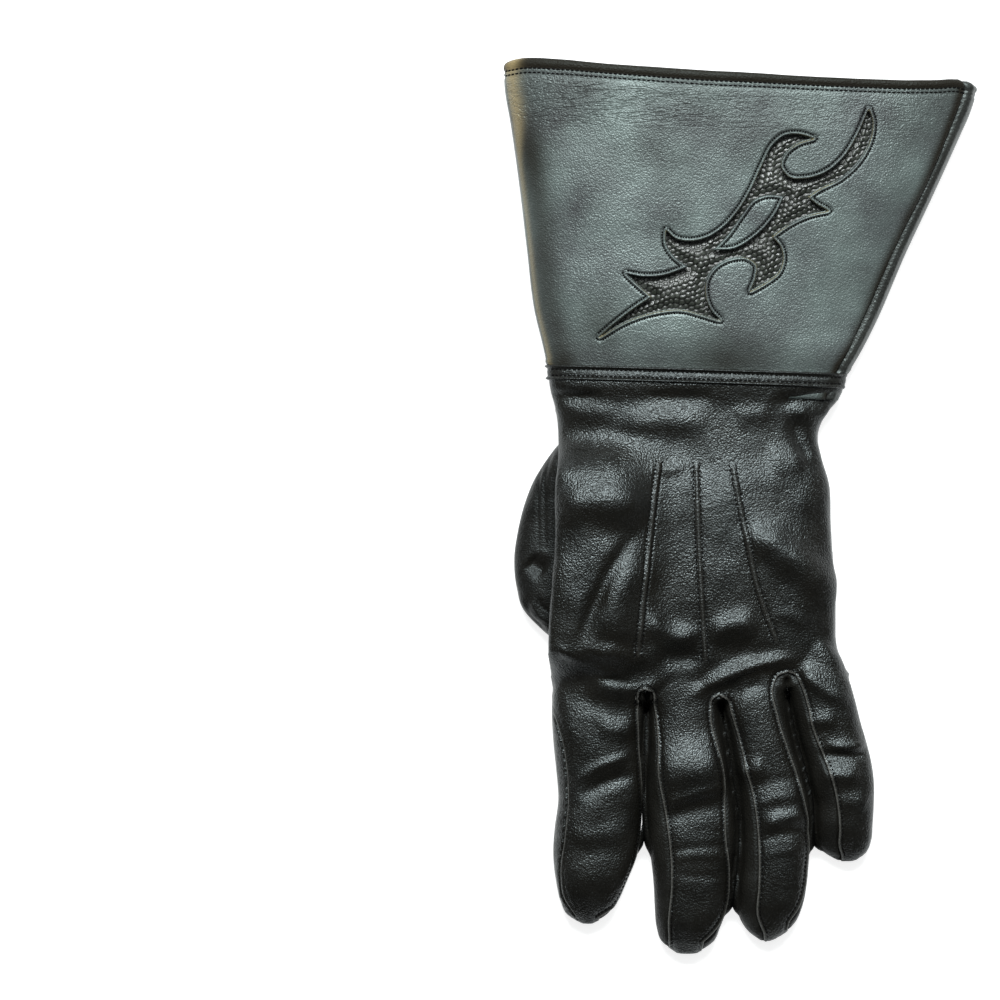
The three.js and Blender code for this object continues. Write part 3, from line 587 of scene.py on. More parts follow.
# The three raised points
raised = {"rise": 0.42, "width": 1.25, "sunk": 0.34, "lines": [
    curveThrough(drawn(line), 1) for line in (
        [(658, 462), (653, 500), (648, 545), (642, 600), (637, 654)],
        [(695, 463), (696, 510), (698, 560), (701, 610), (704, 659)],
        [(731, 466), (737, 500), (746, 545), (758, 595), (775, 640)])]}

# Folds of the hand: from one place on the drawing to another, bent aside, with a width in squares and a height in mm
handFolds = [
    # x1, y1, x2, y2, bend, width, height
    [546, 390, 600, 396, 3, 6, -1.3], [550, 406, 612, 412, 3, 9, 0.8], [775, 402, 838, 400, -2, 7, -1.3],
    [790, 414, 838, 410, 2, 8, 0.9], [640, 397, 712, 396, 0, 8, -0.6], [618, 426, 708, 422, -3, 14, 1.5],
    [734, 414, 768, 412, 3, 9, 0.6], [556, 438, 640, 434, 5, 16, -0.7], [556, 511, 646, 507, -8, 20, 2.9],
    [648, 468, 684, 467, 2, 6, 0.7], [600, 536, 650, 520, 4, 14, -0.8], [793, 418, 806, 458, 3, 7, -1.2],
    [768, 462, 802, 456, 4, 14, 1.0], [794, 502, 828, 498, 3, 10, 0.5],
    [746, 530, 836, 597, -4, 18, 3.4], [770, 614, 806, 624, -3, 8, 0.6],
    [632, 536, 578, 650, 6, 8, -1.8], [646, 560, 608, 625, 4, 14, 0.9], [556, 560, 584, 606, 6, 18, 0.6],
    [644, 618, 696, 637, 5, 11, 2.1], [655, 656, 700, 656, 2, 10, -1.2], [708, 634, 754, 622, -4, 11, 1.9],
    [712, 650, 752, 644, 3, 10, -1.0], [590, 636, 648, 648, 2, 10, -1.2],
    [554, 644, 622, 672, 5, 5, 0.9], [590, 682, 664, 684, 4, 13, 3.1], [560, 690, 606, 704, 2, 12, -0.7],
    [690, 694, 790, 657, -6, 6, 1.5], [700, 672, 780, 648, -4, 8, -0.7], [728, 696, 764, 682, -2, 7, -0.8],
    [798, 668, 844, 700, 3, 7, 1.2], [806, 656, 850, 672, 2, 8, -0.6],
    # index
    [598, 724, 636, 726, 3, 10, 1.0], [574, 781, 630, 755, -4, 5, 0.85], [582, 794, 632, 774, -3, 7, -1.2],
    [570, 834, 628, 828, 4, 10, 0.6], [568, 850, 640, 848, 2, 10, -0.3],
    # middle
    [654, 776, 726, 768, -3, 26, 3.4], [664, 804, 724, 786, -2, 5.5, 0.7], [664, 816, 726, 804, -2, 9, -0.9],
    [672, 850, 730, 846, -3, 4, -0.35], [672, 858, 726, 855, -3, 4, 0.25], [676, 872, 728, 874, 2, 4, -0.3],
    # ring
    [738, 774, 764, 766, -2, 10, 1.1], [752, 804, 800, 796, -3, 6, 0.5], [752, 786, 800, 778, -3, 6, -0.4],
    [764, 824, 806, 816, -4, 8, 1.3], [758, 838, 808, 830, -2, 6, -0.6], [764, 856, 808, 848, -3, 4, 0.3],
    # little
    [804, 723, 834, 720, -2, 8, 1.1], [828, 745, 866, 743, 2, 5, 1.2], [818, 753, 868, 753, 2, 5, -1.2],
    [820, 772, 858, 771, 3, 9, 1.5], [836, 800, 868, 800, 2, 9, 0.8],
]


def foldHeight(places, folds):
    x = places[:, 0] / drawing["square"] + drawing["left"]
    y = drawing["top"] - places[:, 1] / drawing["square"]
    total = np.zeros(len(places))
    for x1, y1, x2, y2, bend, width, height in folds:
        length = math.hypot(x2 - x1, y2 - y1)
        ux, uy = (x2 - x1) / length, (y2 - y1) / length
        u = ((x - x1) * ux + (y - y1) * uy) / length
        v = (y - y1) * ux - (x - x1) * uy - bend * 4 * u * (1 - u)
        total += height * bell(v, width) * ease(-0.12, 0.25, u) * (1 - ease(0.75, 1.12, u))
    return total


def stitchPull(along):
    # 1 at each hand stitch and -1 between two
    return np.cos(along * 2 * math.pi / 1.9)


def seamProfile(inside, edgeRound=0.3, roll=0.26, stitchAt=1.5, sink=0.26):
    # height of a lapped edge by the distance inside it: rounded edge, low roll, sunk line of stitches
    return -edgeRound * (1 - ease(-0.05, 0.5, inside)) + roll * bell(inside - 0.5, 0.4) \
        - sink * bell(inside - stitchAt, 0.38)


# Band over the wrist seam: its middle slants from the thumb's edge to the little finger's
band = {"half": 2.9, "rows": 26, "ring": 420, "wall": 0.8, "atThumb": 1.35, "atLittle": -2.0, "from": -57, "width": 110}


def slotDepth(p):
    return np.max([depthIn(p[:, :2], sides["outline"])[0] for sides in slotOutlines.values()], 0)


def pointDistance(p):
    return np.min([nearLine(p[:, :2], line)[0] for line in raised["lines"]], 0)


def bandCentre(x):
    return mix(band["atThumb"], band["atLittle"], (x - band["from"]) / band["width"])


print("hand: skin")
handPoints, handTriangles = remeshed(*handShells(), hand["skin"])
handPoints = smoothed(handPoints, handTriangles, 3)
handPoints[:, 0] = closedUp(handPoints[:, 0], handPoints[:, 1])
for reach, seamReach in ((3.0, 2.8), (0, 1.0)):
    up = normalsOf(handPoints, handTriangles)[:, 2] > 0.1
    near = up & ((pointDistance(handPoints) < reach) | (np.abs(slotDepth(handPoints)) < seamReach)
                 | (nearLine(handPoints[:, :2], indexSeam)[0] < seamReach))
    handPoints, handTriangles = refined(handPoints, handTriangles, near)
handPoints = np.concatenate([handPoints, normalsOf(handPoints, handTriangles)], 1)  # columns 3 to 5: outwards


def fingerNumber(x, y):
    return sum((x > slotAt(k, y)).astype(int) for k in range(3))


def beltHeight(x, y):
    # where the back meets the palm's side
    s = palmSections(np.maximum(y, -glove["palmLength"]))
    palmBelt = mix(s[:, 2], s[:, 3], glove["belt"]) + rise(x, y) * 0.8
    number = fingerNumber(x, y)
    fingerBelt = np.zeros(len(x))
    for k, name in enumerate(order):
        _, _, base, top = fingerSections(fingers[name], y)
        fingerBelt = np.where(number == k, mix(base, top, glove["belt"]), fingerBelt)
    return mix(fingerBelt, palmBelt, ease(-glove["palmLength"] - 8, -glove["palmLength"] + 8, y))


seamDistance, _, seamSide = nearLine(handPoints[:, :2], indexSeam)
rightOfSeam = np.where(handPoints[:, 1] > indexSeam[0, 1], 50, seamDistance * seamSide)
aboveBelt = handPoints[:, 2] - beltHeight(handPoints[:, 0], handPoints[:, 1])
backShare = np.minimum(aboveBelt, rightOfSeam)
beforeWrist = bandCentre(handPoints[:, 0]) + hand["wristEnd"] - handPoints[:, 1]
outOfSlots = -slotDepth(handPoints)


def handHeights(points):
    # folds, swells and creases of the upper side
    p, normals = points[:, :2], points[:, 3:6]
    x, y = p[:, 0], p[:, 1]
    top = ease(0.05, 0.55, normals[:, 2])
    free = ease(-4, -9, y)
    folds = foldHeight(p, handFolds)
    swells = 0.5 * noise(x / 21, y / 21, 3) + 0.2 * noise(x / 10, y / 10, 5) + 0.06 * noise(x / 4.5, y / 4.5, 7)
    heights = (folds + swells) * free * top
    below = (1 - ease(-0.6, -0.1, normals[:, 2])) * (0.25 * noise(x / 12, y / 12, 13) - 0.25)
    return heights + np.minimum(below, 0) * ease(1.5, 5, points[:, 2])


def raisedPoints(p):
    heights = np.zeros(len(p))
    for line in raised["lines"]:
        distance, along, _ = nearLine(p, line)
        length = np.linalg.norm(np.diff(line, axis=0), axis=1).sum()
        ends = ease(-0.5, 2, along) * (1 - ease(length - 2, length + 0.5, along)) * (distance < 6)
        pull = 1 + 0.35 * stitchPull(along)
        heights += ends * (raised["rise"] * bell(distance, 0.8)
                           - raised["sunk"] * pull * bell(distance - raised["width"], 0.42))
    return heights


print("hand: back")
value = np.minimum(np.minimum(outOfSlots, backShare), beforeWrist)
backPoints, backTriangles = largestPart(*clipped(handPoints, handTriangles, value))
outOf = -slotDepth(backPoints)
seamPull = np.zeros(len(backPoints))
for sides in slotOutlines.values():
    for side in ("left", "right"):
        distance, along, _ = nearLine(backPoints[:, :2], sides[side])
        seamPull += 0.05 * bell(distance - 1.6, 0.8) * stitchPull(along)
distance, _, _ = nearLine(backPoints[:, :2], indexSeam)
indexEdge = np.where(backPoints[:, 1] > indexSeam[0, 1], 9, distance)
heights = handHeights(backPoints) + raisedPoints(backPoints[:, :2]) + seamPull
heights += seamProfile(outOf) * ease(0.05, 0.5, backPoints[:, 5]) + seamProfile(indexEdge, roll=0.05, sink=0.1)
backPoints[:, :3] += backPoints[:, 3:6] * heights[:, None]
# Lighter seam colour: wear along the lapped slot edges and the index seam, and a painted highlight along the crests of
# the raised points
seamWearAndRidgeHighlight = np.maximum(bell(outOf - 0.4, 0.32), 0.6 * bell(indexEdge - 0.3, 0.3)) \
    + 0.16 * bell(pointDistance(backPoints), 0.5)
backCore = (backPoints, backTriangles)
handBack = walled(*backCore, hand["wall"])

print("hand: palm")
value = np.minimum(np.minimum(outOfSlots, 0.5 - backShare), beforeWrist)
palmPoints, palmTriangles = largestPart(*clipped(handPoints, handTriangles, value))
share = np.minimum(palmPoints[:, 2] - beltHeight(palmPoints[:, 0], palmPoints[:, 1]),
                   np.where(palmPoints[:, 1] > indexSeam[0, 1], 50,
                            np.prod(nearLine(palmPoints[:, :2], indexSeam)[::2], 0)))
pucker = 0.28 * noise(palmPoints[:, 0] / 6, palmPoints[:, 1] / 1.6, 21) * ease(-120, -140, palmPoints[:, 1]) \
    * ease(0.0, 0.5, palmPoints[:, 5]) * (palmPoints[:, 0] < -45)
heights = handHeights(palmPoints) + pucker - 0.75 * ease(-0.6, 0.2, share)
palmPoints[:, :3] += palmPoints[:, 3:6] * heights[:, None]
handPalm = walled(palmPoints, palmTriangles, hand["wall"])

print("hand: fourchettes")
# the gussets lap under the seams, and lean on each other where two fingers touch
gusset = {"wall": 0.8, "lap": 0.9, "lean": 1.7, "apart": 0.45, "lowest": 0.2, "hollow": 3}
fourchettes = {}
for number, (name, sides) in enumerate(slotOutlines.items()):
    depth, _ = depthIn(handPoints[:, :2], sides["outline"])
    p, t = largestPart(*clipped(handPoints, handTriangles, np.minimum(depth + gusset["lap"], beforeWrist)))
    depth, _ = depthIn(p[:, :2], sides["outline"])
    side = np.sign(p[:, 0] - slotAt(number, p[:, 1]))
    middle = np.abs(p[:, 0] - slotAt(number, p[:, 1]))
    top = ease(0, 0.3, p[:, 5])
    sunk = mix(mix(0.15, 0.35, top), mix(0.4, 1.05, ease(0.1, 0.5, p[:, 5])), 1 - ease(-0.3, 1.3, depth))
    past = crotches[number][1] - p[:, 1]
    touching = (1 - ease(1.4, 2.8, middle)) * ease(-1.5, 0.5, past) * (1 - top)
    sunk = mix(sunk, -gusset["lean"], touching)
    p[:, :3] += p[:, 3:6] * (handHeights(p) - sunk)[:, None]
    between = slotAt(number, p[:, 1]) - side * gusset["apart"]
    p[:, 0] = np.where((touching > 0.3) & ((p[:, 0] - between) * side < 0), between, p[:, 0])
    p[:, 2] = np.maximum(p[:, 2], gusset["lowest"])  # lies on the surface
    head = sides["left"][0][1]
    p[:, 2] -= top * gusset["hollow"] * bell(middle, 1.0) * ease(0.8, 4, head - p[:, 1]) * ease(0.3, 1.4, depth)
    fourchettes[name] = (*walled(p, t, gusset["wall"]), np.clip(touching * 1.3, 0, 1))

# Thumb, folded under the palm
thumb = {"rows": 110, "ring": 110, "wall": 1.0}


def thumbSkin():
    along = np.linspace(thumbRows[0][0], 1, thumb["rows"])
    left, right, base, top = (smoothRows(thumbRows)(along) * sizes("thumbWidth", "thumbHeight")).T[:, :, None]
    middle = thumbRoot["x"] * glove["palmWidth"]
    q = np.linspace(0, 2, thumb["ring"], endpoint=False)[None]
    x, z, _ = sectionRing(left + middle, right + middle, base, top, q)
    y = (-thumbRoot["along"] * glove["palmLength"] - along * glove["thumbLength"])[:, None] + 0 * x
    rings = np.stack([x, y, z], -1)
    points, triangles = closedLoft(rings)
    start = thumb["rows"] * thumb["ring"]
    triangles = triangles[(triangles != start).all(1)]  # open into the palm
    points, triangles = packed(points, triangles)
    normals = normalsOf(points, triangles)
    p = points[:, :2]
    top = ease(-0.1, 0.4, normals[:, 2])
    seam = curveThrough(drawn([(551, 452), (546, 470), (544, 505), (545, 548)]), 1)
    second = seam + [-2.3, 0]
    heights = -0.55 * bell(nearLine(p, seam)[0], 0.8) - 0.45 * bell(nearLine(p, second)[0], 0.7)
    heights += foldHeight(p, [[528, 560, 545, 572, 0, 9, -2.2], [532, 600, 548, 622, 3, 2.5, 0.6],
                              [526, 604, 545, 630, 3, 2.5, -0.8], [520, 596, 540, 620, 3, 3, 0.5],
                              [538, 596, 550, 612, 3, 2, -0.6]])
    heights += 0.25 * noise(p[:, 0] / 6, p[:, 1] / 8, 31)
    points = points + normals * (heights * top)[:, None]
    return points, triangles


print("thumb")
thumbCore = thumbSkin()
thumbWalled = walled(*thumbCore, thumb["wall"])

rimStitches = {"pitch": 1.05, "length": 0.92, "width": 0.8, "out": 1.45, "leafIn": 1.35, "lift": 0.08}

# Cuff: a grid of places round the section (q) and along the cuff (t), cut along the seams and the ornament
cuff = {"grid": 1.25, "wall": 1.5, "leafWall": 1.1, "seamInset": 4.5, "underInset": 9, "rim": 0.32,
        "slope": 0.95, "wristEnd": -0.0495, "tuck": 1.85, "hemWall": 1.0}


def cuffSections(y):
    # the cuff's end is tucked inside the hand
    rows = []
    for place in (-6, -3, 0, 2.8):
        s = palmSections(np.array(place))
        rows.append([place / glove["cuffLength"], *(s + cuff["tuck"] * np.array([1, -1, 1, -1]))])
    rows += [[along, *(shares * sizes("mouthWidth", "mouthHeight"))] for along, *shares in cuffRows]
    return smoothRows(rows)(y)


# x, and how far the mouth's edge there is beyond the straight slant, in mm
mouthRows = [[-76, -1.6], [-73, -1.3], [-68, -0.5], [-55, -0.5], [-36, -1.1], [-17, -1.6], [2, -1.9], [21, -1.6],
             [40, -1.5], [60, -1.1], [79, -0.4], [88, 0.4], [97, 1.4], [101, 0.7], [105, 0.4]]


def cuffPlace(q, t):
    left, right, base, top = np.moveaxis(cuffSections(t), -1, 0)
    x, z, _ = sectionRing(left, right, base, top, q)
    across = (x + 0.4 * glove["mouthWidth"]) / glove["mouthWidth"]
    y = t * (glove["cuffLength"] - glove["cuffSlant"] * across * np.maximum(0, t))
    y = y + smoothRows(mouthRows)(x)[..., 0] * ease(0.4, 0.95, t)
    y = y + (bandCentre(x) - band["atThumb"]) * (1 - ease(0, 0.3, t))
    return np.stack([x, y, z], -1)


def cuffGrid(fromQ, toQ):
    rows = int(127 / cuff["grid"])
    columns = int(abs(toQ - fromQ) * 165 / cuff["grid"])
    t = np.linspace(1, cuff["wristEnd"], rows)[:, None] + np.zeros((1, columns))
    q = np.linspace(fromQ, toQ, columns)[None] + np.zeros((rows, 1))
    return np.stack([q, t], -1).reshape(-1, 2), gridTriangles(rows, columns)


# The opening's edge on the drawing, one row between two sharp corners, and the leaf's
flameStretches = [
    [(868, 111), (871.5, 121), (871.5, 131), (867, 147), (857, 163), (838, 180), (819, 189.5), (807, 197.5)],
    [(807, 197.5), (816, 204.5), (828, 211)],
    [(828, 211), (807, 216), (786, 226.5), (771.5, 237)],
    [(771.5, 237), (780, 246.5), (783, 258), (779, 272), (767, 282), (751, 291)],
    [(751, 291), (756.5, 277), (757, 265), (748, 258), (731, 258.5), (714, 268), (706, 281), (706, 298), (711, 310),
     (720.5, 320)],
    [(720.5, 320), (703, 314.5), (682, 309.3), (657, 311.5), (628, 320.5), (600, 336.5)],
    [(600, 336.5), (618, 321), (638, 306), (652.5, 296.7)],
    [(652.5, 296.7), (640, 286), (626.5, 273.7)],
    [(626.5, 273.7), (643, 276.7), (662, 275.7), (688.5, 267)],
    [(688.5, 267), (674, 256), (666.5, 244), (666, 230.8)],
    [(666, 230.8), (675, 238.7), (690, 241.5), (707, 238), (723, 228), (738, 211.5), (751, 190), (762.5, 165),
     (773, 145.5), (784, 137), (797, 135.7), (812.5, 139.7)],
    [(812.5, 139.7), (797, 144.5), (784, 155), (780, 167), (788, 177.7), (806, 179.2), (826, 172.5), (843, 158),
     (856, 138), (868, 111)],
]
leafStretches = [
    [(784, 196.5), (776, 213), (765, 227.5), (752, 239), (734, 249), (713, 250.5)],
    [(713, 250.5), (728, 234.5), (742, 214.5), (754, 200), (766, 195.5), (784, 196.5)],
]


def ornamentOutline(stretches):
    return np.concatenate([curveThrough(drawn(stretch, 24), 0.7)[:-1] for stretch in stretches])


flame = ornamentOutline(flameStretches)
leaf = ornamentOutline(leafStretches)


def mouthDistance(t):
    return (1 - t) * glove["cuffLength"] * cuff["slope"]


def cuffSwells(p):
    x, y = p[:, 0], p[:, 1]
    broad = 0.9 * noise(x / 55, y / 45, 41) + 0.35 * noise(x / 22, y / 20, 43) + 0.1 * noise(x / 8, y / 8, 45)
    return broad * ease(2, 16, y)


def rimProfile(out, along):
    # the cut edge: rounded, rolled up, with a sunk line of stitches round it
    pull = 1 + 0.3 * np.cos(along * 2 * math.pi / rimStitches["pitch"])
    return -0.5 * (1 - ease(-0.05, 0.45, out)) + cuff["rim"] * bell(out - 0.6, 0.42) \
        - 0.55 * pull * bell(out - 1.4, 0.4)


def hemmedWall(mouth):
    # the turned-in hem is one piece with the panel
    return cuff["wall"] + cuff["hemWall"] * (1 - ease(glove["hem"] - 0.4, glove["hem"], mouth))


def mouthProfile(out):
    edge = np.clip(out / 1.3, 0, 1)
    return -1.3 * (1 - np.sqrt(1 - (1 - edge) ** 2)) + 0.25 * bell(out - 2.4, 1.4) - 0.5 * bell(out - 4.5, 0.5) \
        - 0.45 * bell(out - 6.1, 0.5) + 0.1 * bell(out - 5.3, 0.4)


def cuffSheet(fromQ, toQ, levels, keep):
    # keep gives what stays, from the places on the plain cuff
    qt, triangles = cuffGrid(fromQ, toQ)
    for near in levels:
        p = cuffPlace(qt[:, 0], qt[:, 1])
        qt, triangles = refined(qt, triangles, near(qt, p))
    qt, triangles = clipped(qt, triangles, keep(qt, cuffPlace(qt[:, 0], qt[:, 1])))
    qt, triangles = largestPart(qt, triangles[:, ::-1] if toQ < fromQ else triangles)
    points = cuffPlace(qt[:, 0], qt[:, 1])
    return qt, triangles, points, normalsOf(points, triangles)


def sideSeam(p, qt):
    # distance inside the back's two edges: the side seam on top, and the under seam round the other edge
    left, right, _, _ = np.moveaxis(cuffSections(qt[:, 1]), -1, 0)
    q = qt[:, 0] % 2
    onTop = (right - cuff["seamInset"]) - p[:, 0]
    below = (left + cuff["underInset"]) - p[:, 0]
    return np.where(q <= 1, np.where(p[:, 0] > (left + right) / 2, onTop, 60), below)


print("cuff: back")


def nearFlame(reach):
    return lambda qt, p: (np.abs(depthIn(p[:, :2], flame)[0]) < reach) & (qt[:, 0] < 1) \
        | (np.abs(sideSeam(p, qt)) < reach * 0.5) | (mouthDistance(qt[:, 1]) < reach * 1.8)


def nearFlameOnly(reach):
    return lambda qt, p: (np.abs(depthIn(p[:, :2], flame)[0] + 0.9) < reach) & (qt[:, 0] < 1)


qt, triangles, points, normals = cuffSheet(
    0.02, 1.3, [nearFlame(3.6), nearFlameOnly(1.7)],
    lambda qt, p: np.minimum(-depthIn(p[:, :2], flame)[0], sideSeam(p, qt)))
out, along = depthIn(points[:, :2], flame)
mouth = mouthDistance(qt[:, 1])
heights = cuffSwells(points[:, :2]) * ease(0.1, 0.6, normals[:, 2]) + rimProfile(-out, along)
heights += mouthProfile(mouth) - 0.8 * (1 - ease(0, 1.3, sideSeam(points, qt))) \
    + 0.15 * bell(sideSeam(points, qt) - 1.5, 0.9)
points = points + normals * heights[:, None]
cuffCore = (points, triangles)
cuffBack = walled(points, triangles, hemmedWall(mouth))
crease = ease(7, 10, mouth) * (1 - ease(20, 26, mouth)) * mix(0.35, 1, 1 - ease(-60, 40, points[:, 0]))
left, right, _, _ = np.moveaxis(cuffSections(qt[:, 1]), -1, 0)
fromLeft = points[:, 0] - left
high = ease(78, 105, points[:, 1])
# a painted warm highlight along the rolled left edge of the cuff's top, wider near the mouth
warm = mix(0.5, 0.8, high) * bell(fromLeft - mix(1.1, 2.6, high), mix(1.1, 3, high)) * ease(0.1, 0.5, normals[:, 2])
spot = np.hypot(points[:, 0] + 38, points[:, 1] - 18)
shade = 0.65 * bell(fromLeft - 6.5, 6) * mix(1, 0.3, high) + 0.5 * bell(spot, 9) + 0.85 * (1 - ease(4, 5, mouth)) \
    + 0.3 * ease(55, 100, points[:, 1]) + 0.4 * bell(np.hypot(points[:, 0] - 6, points[:, 1] - 10), 15) \
    + 0.95 * (1 - ease(0.8, 5.5, sideSeam(points, qt))) + 0.3 * bell(points[:, 1] - 4, 7) \
    + 0.2 * noise(points[:, 0] / 24, points[:, 1] / 24, 73)
# a painted olive highlight in patches along the opening's edge, standing in for its lit walls
cutEdge = (1 - ease(0.1, 0.45, -out)) * ease(-0.35, 0.25, noise(points[:, 0] / 17, points[:, 1] / 17, 71))
hem = 1 - ease(4.2, 4.8, mouth)
cuffMarks = {"crease": crease, "warm": warm, "cutEdge": cutEdge, "hem": hem, "shade": np.clip(shade, 0, 1)}

print("cuff: palm side")
qt, triangles, points, normals = cuffSheet(
    2.2, 0.9, [lambda qt, p: (np.abs(sideSeam(p, qt)) < 3) | (mouthDistance(qt[:, 1]) < 6)],
    lambda qt, p: 0.6 - sideSeam(p, qt))
edge = -sideSeam(points, qt)
mouth = mouthDistance(qt[:, 1])
heights = mouthProfile(mouth) - 0.9 * (1 - ease(-0.6, 0.9, edge)) + 0.5 * bell(edge - 2.2, 1.0) * (qt[:, 0] > 1.5)
heights += cuffSwells(points[:, :2]) * 0.3 * (normals[:, 2] < -0.3) * ease(0.8, 3, points[:, 2])
points = points + normals * heights[:, None]
cuffPalm = walled(points, triangles, hemmedWall(mouth))

print("cuff: leaf")
qt, triangles, points, normals = cuffSheet(
    0.2, 0.8, [lambda qt, p: depthIn(p[:, :2], leaf)[0] > -3,
               lambda qt, p: np.abs(depthIn(p[:, :2], leaf)[0] - 0.9) < 1.9],
    lambda qt, p: depthIn(p[:, :2], leaf)[0])
inside, along = depthIn(points[:, :2], leaf)
points = points + normals * (cuffSwells(points[:, :2]) + rimProfile(inside, along))[:, None]
leafCore = (points, triangles)
cuffLeaf = walled(points, triangles, cuff["leafWall"])

# Inlay: reptile leather behind the flame
inlay = {"lap": 2.2, "scale": 2.25, "scaleRise": 0.42, "depth": 3.1, "bulge": 1.3, "wall": 0.7, "turn": 20}


def scalesAt(p):
    # round scales in staggered rows, a little uneven: 1 on a scale's crown, 0 in the creases
    turn = math.radians(inlay["turn"])
    u = (p[:, 0] * math.cos(turn) + p[:, 1] * math.sin(turn)) / inlay["scale"]
    v = (p[:, 1] * math.cos(turn) - p[:, 0] * math.sin(turn)) / (inlay["scale"] * 0.8)
    u = u + 0.35 * noise(u / 5, v / 5, 51)
    v = v + 0.35 * noise(u / 5, v / 5, 53)
    best = np.full(len(p), 9.0)
    second = np.full(len(p), 9.0)
    for dv in (-1, 0, 1):
        row = np.floor(v) + dv
        for du in (-1, 0, 1):
            column = np.floor(u - 0.5 * (row % 2)) + du
            jitter = np.sin(column * 91.7 + row * 47.3) * 9871.3
            jitter = (jitter - np.floor(jitter) - 0.5) * 0.42
            distance = np.hypot(u - (column + 0.5 + 0.5 * (row % 2) + jitter), (v - row - 0.5 - jitter) * 0.85)
            second = np.minimum(second, np.maximum(distance, best))
            best = np.minimum(best, distance)
    return ease(0.02, 0.42, second - best)


print("cuff: inlay")
qt, triangles, points, normals = cuffSheet(
    0.15, 0.85, [lambda qt, p: depthIn(p[:, :2], flame)[0] > -inlay["lap"] - 1.5] * 2,
    lambda qt, p: depthIn(p[:, :2], flame)[0] + inlay["lap"])
inside = np.minimum(depthIn(points[:, :2], flame)[0], -depthIn(points[:, :2], leaf)[0])
scales = scalesAt(points[:, :2])
heights = cuffSwells(points[:, :2]) - inlay["depth"] + inlay["bulge"] * ease(0.6, 5, inside) \
    + inlay["scaleRise"] * (scales - 0.5) * ease(-1, 0.5, inside)
points = points + normals * heights[:, None]
cuffInlay = walled(points, triangles, inlay["wall"])

# Band: across its width, from the cuff's side, the offset from the hand
bandRows = [[-1, 0.15], [-0.94, 0.75], [-0.82, 1.2], [-0.66, 0.8], [-0.5, 0.2], [-0.3, 0.25], [0, 0.34], [0.28, 0.25],
            [0.48, 0.2], [0.64, 0.7], [0.78, 1.05], [0.92, 0.7], [1, 0.1]]


def bandSkin():
    v = np.linspace(-1, 1, band["rows"])
    lift = smoothRows(bandRows)(v)[:, 0]
    q = np.linspace(0, 2, band["ring"], endpoint=False)[None]
    sections = palmSections(np.zeros(1))[0]
    x0, _, _ = sectionRing(*sections, q)
    y = bandCentre(x0) - v[:, None] * band["half"]
    s = np.moveaxis(palmSections(y), -1, 0)
    out = lift[:, None] * (1 - 0.6 * ease(50, 55, x0)) + 0.12 * noise(x0 / 2.4, v[:, None] * 0.8, 61)
    x, z, _ = sectionRing(s[0] - out, s[1] + out, s[2] - out, s[3] + out, q + 0 * y)
    return np.stack([x, y, z], -1).reshape(-1, 3), gridTriangles(band["rows"], band["ring"], True)


print("wrist band")
bandCore = bandSkin()
wristBand = walled(*bandCore, band["wall"])


# Leather: grain and fine wrinkles in the bump, uneven colour and gloss, and on some pieces painted sheen, highlights
# and shade

def addNode(tree, kind, inputs=(), **settings):
    # inputs by name or number, each a value or another node's output
    node = tree.nodes.new(kind)
    for name, value in settings.items():
        setattr(node, name, value)
    for name, value in dict(inputs).items():
        if isinstance(value, bpy.types.NodeSocket):
            tree.links.new(value, node.inputs[name])
        else:
            if isinstance(value, tuple) and len(value) < len(node.inputs[name].default_value):
                value = (*value, 1)  # a colour
            node.inputs[name].default_value = value
    return node


class Leather:
    def __init__(self, name):
        self.material = bpy.data.materials.new(name)
        self.material.use_nodes = True
        self.tree = self.material.node_tree
        self.shader = self.tree.nodes["Principled BSDF"]
        coordinates = addNode(self.tree, "ShaderNodeTexCoord")
        self.places = self.scaled(coordinates.outputs["Object"], (1000, 1000, 1000))  # in millimetres

    def scaled(self, vector, scale, turn=0):
        inputs = {"Scale": scale, "Rotation": (0, 0, math.radians(turn)), "Vector": vector}
        return addNode(self.tree, "ShaderNodeMapping", inputs).outputs["Vector"]

    def noise(self, size, detail=2, stretch=(1, 1, 1), turn=0):
        inputs = {"Scale": 1 / size, "Detail": detail, "Vector": self.scaled(self.places, stretch, turn)}
        return addNode(self.tree, "ShaderNodeTexNoise", inputs).outputs["Fac"]

    def cells(self, size):
        inputs = {"Scale": 1 / size, "Vector": self.scaled(self.places, (1, 1, 1))}
        return addNode(self.tree, "ShaderNodeTexVoronoi", inputs, feature="F1").outputs["Distance"]

    def mark(self, name):
        return addNode(self.tree, "ShaderNodeAttribute", attribute_name=name).outputs["Fac"]

    def spread(self, value, low, high, fromLow=0.3, fromHigh=0.7):
        inputs = {"Value": value, "From Min": fromLow, "From Max": fromHigh, "To Min": low, "To Max": high}
        return addNode(self.tree, "ShaderNodeMapRange", inputs).outputs["Result"]

    def maths(self, operation, a, b):
        return addNode(self.tree, "ShaderNodeMath", {0: a, 1: b}, operation=operation).outputs["Value"]

    def blend(self, share, a, b):
        return addNode(self.tree, "ShaderNodeMix", {0: share, 6: a, 7: b}, data_type="RGBA").outputs[2]

    def bump(self, height, depth, before=None):
        inputs = {"Strength": 1, "Distance": depth / 1000, "Height": height}
        if before:
            inputs["Normal"] = before
        return addNode(self.tree, "ShaderNodeBump", inputs).outputs["Normal"]

    def finish(self, **inputs):
        for name, value in inputs.items():
            socket = self.shader.inputs[name.replace("_", " ")]
            if isinstance(value, bpy.types.NodeSocket):
                self.tree.links.new(value, socket)
            else:
                socket.default_value = value
        return self.material


